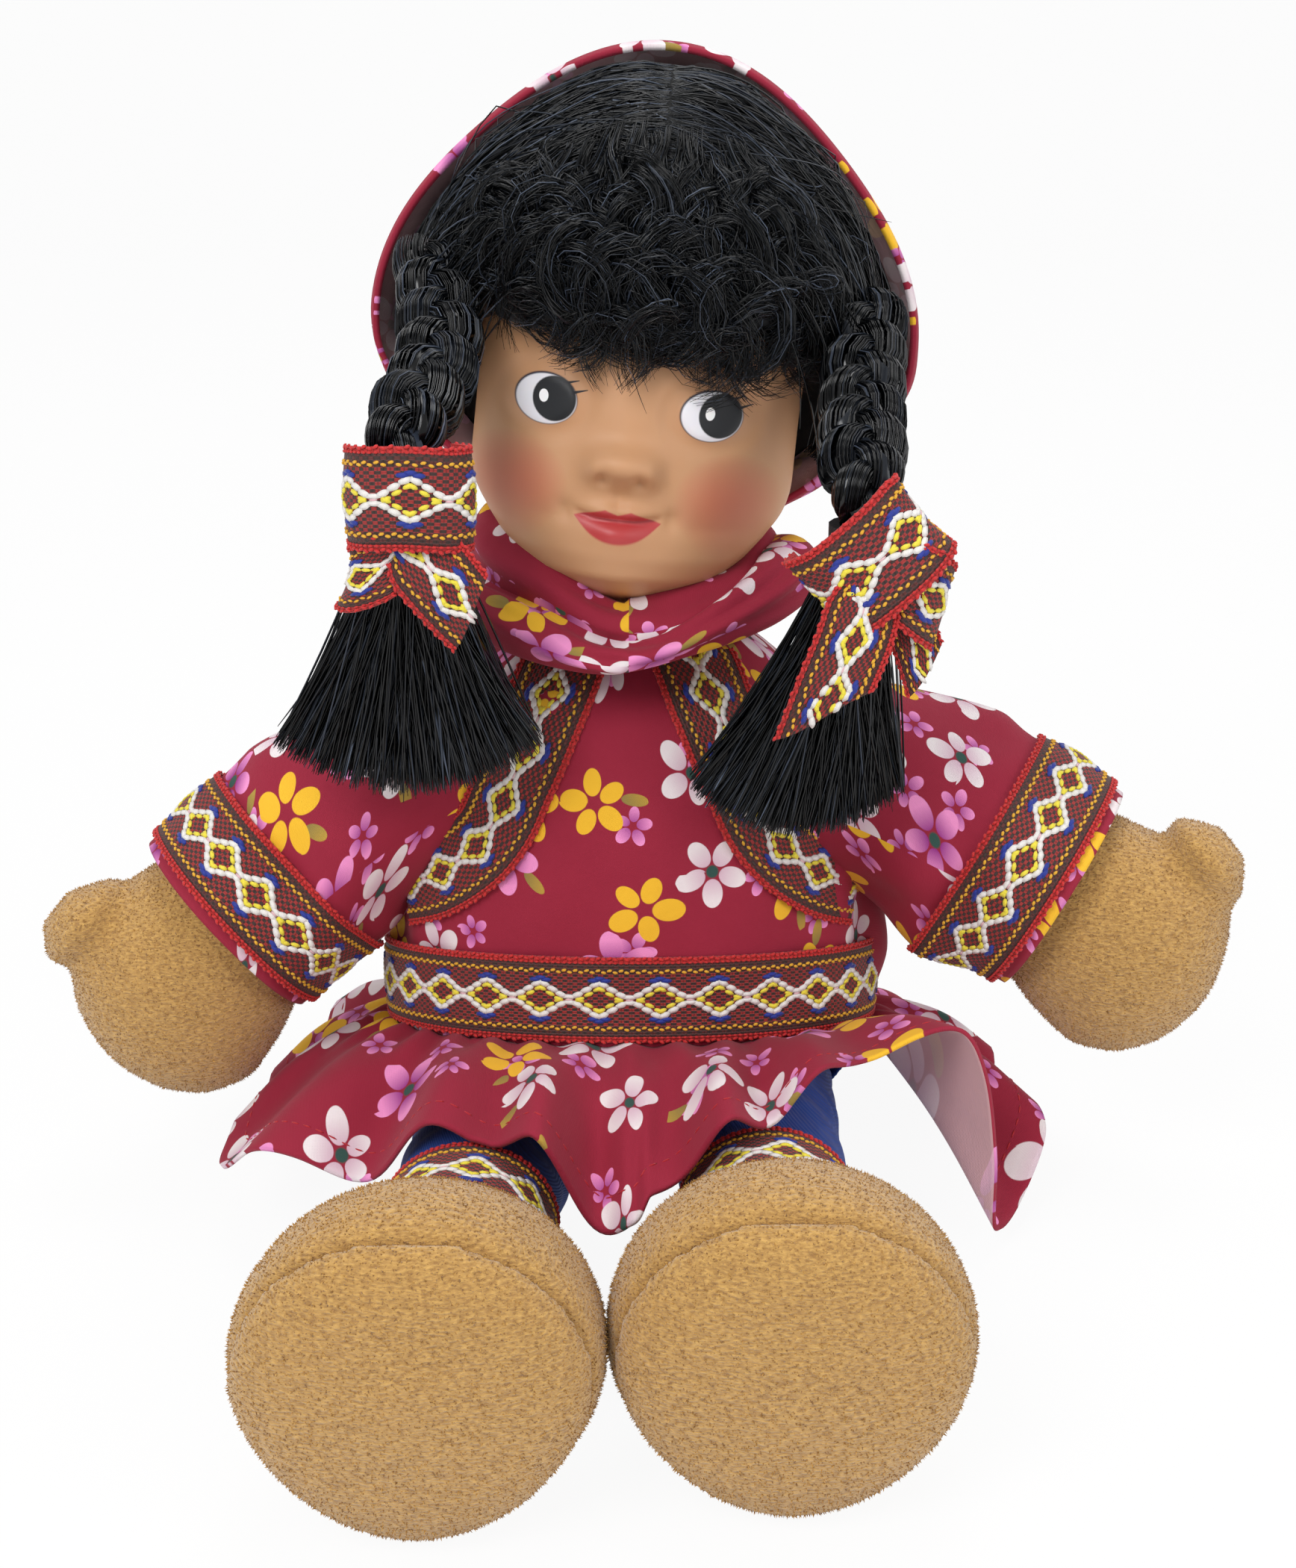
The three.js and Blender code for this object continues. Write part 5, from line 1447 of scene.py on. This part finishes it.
def under_hood(points):
    """Draws hair behind the hood's front edge in, so that it stays inside the hood."""
    away = points - HAIR_CENTRE
    behind = np.clip(away[..., 1] + 3 * MM, 0, None) / (HOOD_BACK - 3 * MM)
    rise = np.where(away[..., 2] > 0, HOOD_TOP, HOOD_FALL) - 2.5 * MM
    flat = (away[..., 0] / (HOOD_SIDE - 3 * MM)) ** 2 + (away[..., 2] / rise) ** 2
    spread = np.sqrt(flat + behind ** 2)
    angle = np.arctan2(away[..., 0] / HOOD_SIDE, away[..., 2] / rise)
    room = 0.97 * (1 - HOOD_PEAK * np.sin(2 * angle) ** 2)
    pull = np.where(away[..., 1] > -15 * MM, np.minimum(1, room / np.maximum(spread, 1e-6)), 1)
    return HAIR_CENTRE + away * pull[..., None]


def behind_cheeks(points):
    """Keeps the hair shell inside the hood, and back from the sides of the face."""
    local = off_head(points)
    low = 1 - smooth(234 * MM, 246 * MM, local[:, 2])
    local[:, 1] += low * np.clip(-4 * MM - local[:, 1], 0, None)
    return on_head(under_hood(local))


def heading(side, around, rise):
    """Directions at an angle round from the front to one side, and at an angle up."""
    return np.stack([side * np.sin(around) * np.cos(rise), -np.cos(around) * np.cos(rise), np.sin(rise)], -1)


def swept(first, last, steps):
    """Directions that turn evenly from the first to the last."""
    first, last = unit(first), unit(last)
    angle = np.arccos(np.clip((first * last).sum(-1), -1, 1))[:, None, None]
    share = np.linspace(0, 1, steps)[None, :, None]
    spread = np.maximum(np.sin(angle), 1e-6)
    return (np.sin((1 - share) * angle) * first[:, None] + np.sin(share * angle) * last[:, None]) / spread


def make_crown():
    """Hair combed from the parting to the sides, fuller where it meets the hood."""
    count, steps = 2200, 14
    side = np.where(np.arange(count) % 2, 1, -1)
    part = np.radians(random.uniform(-28, 58, count))
    first = np.stack([side * random.uniform(0.0, 0.03, count), -np.sin(part), np.cos(part)], -1)
    around = np.radians(random.normal(92, 12, count) - np.degrees(part) * 0.22)
    rise = np.radians(np.clip(random.normal(-2, 14, count), -18, 40))
    path = swept(first, heading(side, around, rise), steps)
    share = np.linspace(0, 1, steps)[None, :]
    lift = 0.012 + random.uniform(0, 0.04, (count, 1)) * np.sin(np.pi * np.minimum(share * 1.1, 1)) ** 0.7
    lift = lift + random.uniform(0.02, 0.15, (count, 1)) * smooth(0.35, 0.95, share)
    wave = random.uniform(0, 6.28, (count, 1))
    path = path + 0.012 * np.sin(share * 7 + wave)[..., None] * [0.3, 1, 0.5]
    hair("crown_hair", on_head(under_hood(on_hair(path, lift))), 0.23 * MM, "head", seed=2)


def make_side_hair():
    """Hair that fills the room between the skull and the hood beside the face."""
    count, steps = 1100, 12
    side = np.where(np.arange(count) % 2, 1, -1)
    around = np.radians(random.uniform(85, 112, count))
    high, low = np.radians(random.uniform(10, 62, count)), np.radians(random.uniform(-25, -6, count))
    path = swept(heading(side, around, high), heading(side, around, low), steps)
    share = np.linspace(0, 1, steps)[None, :]
    lift = random.uniform(0.04, 0.22, (count, 1)) * smooth(-0.1, 0.5, share + 0.4 * (1 - high[:, None]))
    hair("side_hair", on_head(under_hood(on_hair(path, lift))), 0.42 * MM, "head", seed=12)


def make_fringe():
    """Curly locks over the forehead; the hairs of a lock share its curl."""
    half, each, steps = 65, 19, 24
    share = np.linspace(0, 1, steps)[None, None, :]
    along = share[0, ..., None]
    for name, side in SIDE.items():
        spread = side * (np.arange(half) + random.uniform(0, 1, half)) / half
        part = np.radians(random.uniform(40, 64, half))
        first = np.stack([spread * 0.72, -np.sin(part), np.cos(part)], -1)
        edge = np.clip(spread * 43 + random.normal(0, 4, half), -44, 44)
        lowest = 57 + 1.8 * np.sin(edge * 0.2 + 0.6) + np.where(edge < -18, (-18 - edge) * 0.55, 0)
        stop_z = CHIN + (lowest + random.exponential(5.0, half)) * MM
        turn = np.arcsin(np.clip(edge * MM / skull.oval(stop_z)[0], -0.97, 0.97))
        last = skull.point(turn, stop_z, random.uniform(4, 10, half) * MM)
        begin = on_hair(first, np.full(half, 0.015))
        out = unit(last - HAIR_CENTRE) * random.uniform(5, 13, (half, 1)) * MM
        middle = (begin + last) / 2 + out + np.array([0, -3, 10]) * MM
        spine = begin[:, None] * (1 - along) ** 2 + 2 * middle[:, None] * along * (1 - along)
        spine = spine + last[:, None] * along ** 2
        curl = random.uniform(3.4, 8.0, (half, 1, 1)) * MM * smooth(0.05, 0.6, share)
        pace = random.uniform(0.75, 1.6, (half, 1, 1)) * np.where(random.random((half, 1, 1)) < 0.5, -1, 1)
        phase = random.uniform(0, 6.28, (half, 1, 1)) + 3.4 * np.pi * pace * share ** 1.5
        phase = phase + random.normal(0, 0.22, (half, each, 1))
        curl = curl * random.uniform(0.8, 1.2, (half, each, 1))
        stray = random.normal(0, 0.9 * MM, (half, each, 1, 3)) * (0.9 + 0.4 * share[..., None])
        path = spine[:, None] + stray
        path = path + (curl * np.cos(phase))[..., None] * [1, 0, 0]
        path = path + (curl * np.sin(phase))[..., None] * [0, -0.35, 0.9]
        hair(f"fringe_curls_{name}", on_head(path.reshape(-1, steps, 3)), 0.15 * MM, "head", seed=3 + side)


def make_flyaways():
    """A few loose hairs over the forehead and the cheeks."""
    count, steps = 34, 18
    start = on_hair(np.stack([random.uniform(-0.7, 0.7, count), -random.uniform(0.5, 0.95, count),
                              random.uniform(0.2, 0.9, count)], -1), np.full(count, 0.04))
    share = np.linspace(0, 1, steps)[None, :, None]
    drift = random.normal(0, 1, (count, 1, 3)) * [8, 3, 8] * MM + np.array([0, -2, -12]) * MM
    bend = random.normal(0, 5 * MM, (count, 1, 3))
    stray = random.normal(0, 2 * MM, (count, 1, 3))
    path = start[:, None] + drift * share + bend * np.sin(np.pi * share) + stray * share ** 2
    hair("loose_hairs", on_head(under_hood(path)), 0.1 * MM, "head", seed=4)


# Plait: length of one turn of its strands, their sway aside and forward, their radius and hairs in each
PLAIT_PITCH = 36 * MM
PLAIT_ASIDE, PLAIT_FORWARD = 5.6 * MM, 3.2 * MM
STRAND_RADIUS = 5.7 * MM
STRAND_PITCH = 80 * MM
STRAND_HAIRS = 112


class Braid:
    """Middle line of one plait, from its root in the hair to the band at its end."""

    def __init__(self, name):
        self.name, self.side, self.body = name, SIDE[name], f"{name}_braid"
        root = JOINT[f"braid_swing_{name}"]
        band = node_points(f"hair_elastic_{name}")
        self.end = np.array([*((band.min(0) + band.max(0)) / 2)[:2], band[:, 2].max()])
        bulge = {RIGHT: -5, LEFT: -1}[name]
        middle = root + (self.end - root) * 0.45 + np.array([self.side * bulge, -6, 0]) * MM
        above = self.end + [0, 0, 10.5 * MM]
        self.line = curve_through([root, middle, above, self.end], 46)


def make_braid(braid):
    line = braid.line
    along = unit(np.gradient(line, axis=0))
    across = unit(np.array([1.0, 0, 0]) - along * along[:, :1])
    front = np.cross(along, across)
    run = np.append(0, np.cumsum(np.linalg.norm(np.diff(line, axis=0), axis=1)))
    taper = 1 - 0.45 * smooth(0.78, 1, run / run[-1])

    def beside(middle, aside, forward):
        return middle + across * aside[:, None] + front * forward[:, None]

    paths, cores = [], []
    for strand in range(3):
        angle = TURN * (run / PLAIT_PITCH + strand / 3)
        core = beside(line, PLAIT_ASIDE * np.sin(angle) * taper, PLAIT_FORWARD * np.sin(2 * angle) * taper)
        cores.append(core)
        for _ in range(STRAND_HAIRS):
            spin = random.uniform(0, 6.28) + run / STRAND_PITCH * random.normal(1, 0.05)
            far = random.uniform(0.9, 1) * STRAND_RADIUS * taper
            paths.append(beside(core, far * np.cos(spin), far * np.sin(spin)))
    name, body = braid.name, braid.body
    hair(f"braid_plait_{name}", paths, 0.26 * MM, body, f"braid_{name}", 5 + braid.side)
    hair(f"braid_core_{name}", np.array(cores)[:, ::2], 4.6 * MM, body, seed=15 + braid.side)
    finish_with(frame["nodes"][f"hair_elastic_{name}"], ELASTIC)


def make_tassel(braid):
    """Loose ends that fan out below the band."""
    count, steps = 1500, 9
    low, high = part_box(f"tassel_{braid.name}")
    top = np.array([*braid.end[:2], high[2] + 3 * MM])
    length = high[2] - low[2]
    half, middle = (high[0] - low[0]) / 2 + 1 * MM, (high[0] + low[0]) / 2
    start = np.clip(random.normal(0, 1, (count, 2)), -1.8, 1.8) * [3.6 * MM, 3.2 * MM]
    wide = random.uniform(-1, 1, count)
    deep = random.uniform(-1, 1, count) * np.sqrt(1 - 0.6 * wide ** 2)
    trim = random.normal(0, 0.9 * MM, count)
    last = np.stack([middle + wide * half, top[1] + deep * 7.2 * MM,
                     low[2] + 0.16 * length * wide ** 2 + 1.5 * MM + trim], -1)
    first = np.concatenate([top[:2] + start, np.full((count, 1), top[2])], 1)
    share = np.linspace(0, 1, steps)[None, :, None]
    spread = share ** [1.25, 1.1, 1.0]
    path = first[:, None] * (1 - spread) + last[:, None] * spread
    path = path + np.sin(np.pi * share) * np.clip(random.normal(0, 1, (count, 1, 3)), -2, 2) * 0.9 * MM
    hair(f"tassel_hair_{braid.name}", path, 0.3 * MM, braid.body, f"tassel_{braid.name}", 8 + braid.side)


# Bows: each strip has middle points in millimetres from the knot, the lie of its width at each, and its
# share of the ribbon's width
BOWS = {
    RIGHT: [
        ("front",
         [(-9, 7, 0), (-12.5, 0, 0.5), (-8, -7, 1.5), (2, -9, 2), (13, -7, 1), (17.5, 0, 0), (13, 7, -1)],
         [(0, 0.1, 1)] * 7, 1.0),
        ("ear", [(4, -6, -10), (-4, -8, -15), (-12, -5, -19), (-14, 1, -20), (-9, 4, -19), (0, 2, -14)],
         [(0.35, 0, 1)] * 6, 0.62),
        ("tail", [(3, -6, -10), (9, -8, -17), (15, -7, -25), (20, -5, -31)],
         [(0.75, 0.2, 0.6), (0.75, 0.1, 0.6), (0.75, 0, 0.6), (0.75, 0, 0.6)], 0.8),
    ],
    LEFT: [
        ("front",
         [(12, 4, 10), (13, -3, 9), (8, -9, 4), (0, -11, -3), (-7, -10, -9), (-12, -4, -13), (-10, 3, -13)],
         [(-0.65, 0.1, 0.75)] * 7, 1.0),
        ("ear", [(4, -5, -4), (12, -8, -8), (18, -4, -14), (18, 3, -16), (12, 5, -12), (5, 2, -6)],
         [(0.2, 0.1, 1)] * 6, 0.85),
        ("tail", [(0, -9, -8), (-3, -11, -20), (-8, -11, -34), (-13, -9, -50)],
         [(0.95, 0, -0.3)] * 4, 0.75),
        ("end", [(8, -3, -14), (13, -4, -24), (17, -3, -36)],
         [(0.85, 0.2, 0.3)] * 3, 0.5),
    ],
}
BOW_STEPS, BOW_ROWS = 70, 9
BOW_CUP = 0.9 * MM


def make_bow(braid):
    low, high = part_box(f"ribbon_bow_{braid.name}")
    knot = np.array([braid.end[0], (low[1] + high[1]) / 2 + 2 * MM, braid.end[2] - 2 * MM])
    far_behind = knot + [0, 0.2, 0]
    share = np.linspace(0, 1, BOW_STEPS)
    rows = np.linspace(0.5, -0.5, BOW_ROWS)[:, None]
    pinch = 1 - 0.25 * hump(share, 0.0, 0.12)
    for label, knots, lies, width in BOWS[braid.name]:
        middle = curve_through(np.array(knots) * MM, BOW_STEPS) + knot
        lie = unit(curve_through(lies, BOW_STEPS))
        along = unit(np.gradient(middle, axis=0))
        lie = unit(lie - along * (lie * along).sum(-1, keepdims=True))
        points = middle + rows[..., None] * (RIBBON_WIDTH * width) * lie * pinch[:, None]
        if label in ("tail", "end"):
            run = share * (1 - (rows + 0.5) * 0.42)
            row = np.linspace(0, 1, BOW_ROWS)[:, None]
            points = Surface(points, far_behind).at(*np.broadcast_arrays(row, run))
        cupped = np.cross(along, lie) * (1 - (2 * rows) ** 2)[..., None] * BOW_CUP
        behind = far_behind if label == "tail" else knot + [0, 0.03, 0]
        lay_ribbon(f"bow_{label}_{braid.name}", Surface(points + cupped, behind), braid.body,
                   f"ribbon_bow_{braid.name}" if label == "front" else None)


def make_hair():
    shell = soft_copy("hair_shell", "hair_cap", "head", HAIR_BASE, 2.5 * MM, 6)
    move_points(shell, behind_cheeks)
    soft_copy("fringe_shell", "fringe", "head", HAIR_BASE, 2.0 * MM, 5)
    make_crown()
    make_side_hair()
    make_fringe()
    make_flyaways()
    for name in SIDE:
        braid = Braid(name)
        make_braid(braid)
        make_tassel(braid)
        make_bow(braid)


# Hood and scarf

HOOD_CLOTH = 1.6 * MM
HOOD_STITCHES = 90


def make_hood():
    """Columns run round the face from side to side, and rows from the front edge to the back."""
    turn, back = np.meshgrid(np.linspace(-1, 1, 150), np.radians(np.linspace(-2, 89.9, 64)))
    turn = turn * np.radians(146 + 34 * smooth(0.1, 0.95, back))
    draw = np.cos(back) * (1 - HOOD_PEAK * np.sin(2 * turn) ** 2)
    rise = np.where(np.cos(turn) > 0, HOOD_TOP, HOOD_FALL)
    points = np.stack([HOOD_SIDE * np.sin(turn) * draw, HAIR_CENTRE[1] + HOOD_BACK * np.sin(back),
                       HAIR_CENTRE[2] + rise * np.cos(turn) * draw], -1)
    folds = ripples(points * [1, 0.5, 1], 42 * MM, 31) * smooth(0.05, 0.5, back) * 1.3
    low = smooth(1.3, 2.4, np.abs(turn)) * ripples(points, 18 * MM, 33) * 1.1
    roll = 2.2 * hump(back, np.radians(3), np.radians(5))
    surface = Surface(on_head(points), on_head(HAIR_CENTRE)).lifted((folds + low + roll) * MM)
    ring = (np.pi / 2 - back) * 52 * MM
    uv = grid_uv(ring * np.sin(turn) + 0.7, ring * np.cos(turn))
    piece = cotton("hood_cotton", surface, uv, HOOD_CLOTH)
    fix(piece, "head", "hood")
    declare_sheet(piece, surface, "draped", ["hair_shell"], edge=0)
    sew_seam("hood_hem_threads", surface, 0.1, np.linspace(0.01, 0.99, HOOD_STITCHES), (2.6, 0.5, 0.45),
             colour(150, 16, 44), "head")


# Scarf rolls: height, lean in degrees, radius, half height and half thickness in millimetres, and a seed
SCARF_ROLLS = [("low", 177.5, 4, 45.5, 7.2, 8, 41), ("high", 183, -6, 35.5, 8.5, 8.5, 57)]
SCARF_DIP = 7 * MM
SCARF_MIDDLE = (*HEAD_PIVOT[:2], 175 * MM)
SCARF_GIRTH = 48 * MM
SCARF_FOLD = 1.1 * MM


def neck_ring(turn, distance, z):
    """Points round the neck; turn 0 is the front."""
    x, y = HEAD_PIVOT[0] + distance * np.sin(turn), HEAD_PIVOT[1] - distance * np.cos(turn)
    return np.stack([x, y, z], -1)


def make_scarf():
    around, section = circle(160), circle(40)
    turn, lap = np.meshgrid(around, section)
    from_front = np.sin(turn / 2)
    for label, height, lean, radius, tall, thick, seed in SCARF_ROLLS:
        behind = smooth(0.3, 0.75, 0.5 - 0.5 * np.cos(turn)) * (label == "low")
        slope = math.tan(math.radians(lean))
        level = height * MM + radius * MM * np.sin(turn) * slope - SCARF_DIP * np.cos(turn) ** 2
        level = level - 5 * MM * hump(from_front, 0, 0.22) - 10 * MM * behind
        reach = (radius - 9 * behind) * MM
        spin = lap + np.sin(turn * 2 + seed) * 0.25
        out = reach + thick * (1 + 0.2 * np.sin(turn * 3 + seed)) * MM * np.cos(spin)
        slack = 1 - 0.4 * hump(from_front, 0, 0.35)
        up = (tall * slack + 5 * behind) * MM * np.sin(spin) * (1 + 0.12 * np.sin(turn * 4 + seed))
        points = neck_ring(turn, out, level + up)
        folds = ripples(np.stack([turn * 0.9, np.cos(lap), np.sin(lap)], -1), 1.1, seed)
        points = points + unit(points - neck_ring(turn, reach, level)) * (folds * SCARF_FOLD)[..., None]
        surface = Surface(np.concatenate([points, points[:1]]), SCARF_MIDDLE, wrap=True)
        u = np.append(around, TURN) * SCARF_GIRTH + seed * 0.01
        v = np.append(section, TURN)[:, None] * thick * MM
        mesh = grid_mesh(f"scarf_roll_{label}", surface, grid_uv(u, v))
        with edited(mesh) as roll:
            bmesh.ops.recalc_face_normals(roll, faces=roll.faces)
        piece = show(f"scarf_roll_{label}", mesh, PRINT)
        fix(piece, "head", "scarf" if label == "low" else None)


# Stage, camera and light

# Stage: half its width, place of the wall, its top and the radius of the bend up to it
STAGE_REACH, STAGE_WALL, STAGE_TOP, STAGE_BEND = 6.0, 2.5, 4.0, 0.6


def paper_shader(tree):
    """White paper that looks nearly as bright to the camera as its light."""
    paper = tree.node("ShaderNodeBsdfDiffuse", {}, {"Color": (0.86, 0.86, 0.86, 1)})
    glow = tree.node("ShaderNodeEmission", {}, {"Color": (1, 1, 1, 1), "Strength": 1.0})
    rays = tree.node("ShaderNodeLightPath", {}, {}, "Is Camera Ray")
    share = (rays + rays.out("Is Glossy Ray")).clamped() * 0.93
    return tree.node("ShaderNodeMixShader", {}, [share, paper, glow])


def make_stage():
    flat_end = STAGE_WALL - STAGE_BEND
    bend = np.linspace(0.2, math.pi / 2, 8)
    section = [(-STAGE_REACH, 0), (flat_end, 0)]
    section += [(flat_end + STAGE_BEND * math.sin(t), STAGE_BEND - STAGE_BEND * math.cos(t)) for t in bend]
    section += [(STAGE_WALL, STAGE_TOP)]
    points = [(x, y, z) for y, z in section for x in (-STAGE_REACH, STAGE_REACH)]
    faces = [(2 * r, 2 * r + 1, 2 * r + 3, 2 * r + 2) for r in range(len(section) - 1)]
    mesh = bpy.data.meshes.new("floor_sweep")
    mesh.from_pydata(points, [], faces)
    mesh.shade_smooth()
    show("floor_sweep", mesh, shaded("pale_paper", paper_shader))


def make_camera():
    data = bpy.data.cameras.new("camera")
    data.lens, data.sensor_width = CAMERA_LENS, 36
    data.clip_start, data.clip_end = 0.01, 50
    camera = bpy.data.objects.new("camera", data)
    rise = math.radians(CAMERA_ELEVATION)
    back = np.array([0, -math.cos(rise), math.sin(rise)])
    camera.location = CAMERA_TARGET + back * CAMERA_DISTANCE
    camera.rotation_euler = (math.pi / 2 - rise, 0, 0)
    bpy.context.scene.collection.objects.link(camera)
    bpy.context.scene.camera = camera


# Lamps: place, size and power, all pointed at the doll's middle
LAMPS = [
    ("key", (-0.7, -1.1, 1.3), 0.9, 15),
    ("fill", (1.1, -0.9, 0.7), 1.0, 6),
    ("top", (0.1, 0.2, 1.6), 0.8, 7),
]
LIT_POINT = Vector((0, -0.06, 0.14))
SKY_STRENGTH = 0.55


def add_lamp(name, place, size, power):
    data = bpy.data.lights.new(name, "AREA")
    data.shape, data.size, data.energy = "DISK", size, power
    lamp = bpy.data.objects.new(name, data)
    lamp.location = place
    lamp.rotation_euler = (LIT_POINT - Vector(place)).to_track_quat("-Z", "Y").to_euler()
    bpy.context.scene.collection.objects.link(lamp)


def make_light():
    world = bpy.data.worlds.new("studio")
    world.use_nodes = True
    sky = world.node_tree.nodes["Background"].inputs
    sky["Color"].default_value = (1, 1, 1, 1)
    sky["Strength"].default_value = SKY_STRENGTH
    bpy.context.scene.world = world
    for lamp in LAMPS:
        add_lamp(*lamp)
    bpy.context.scene.view_settings.view_transform = "Standard"


make_camera()
make_light()
make_stage()
make_trunk()
for name in SIDE:
    make_arm(name)
    make_leg(name)
make_head()
make_neck()
make_hair()
make_hood()
make_scarf()
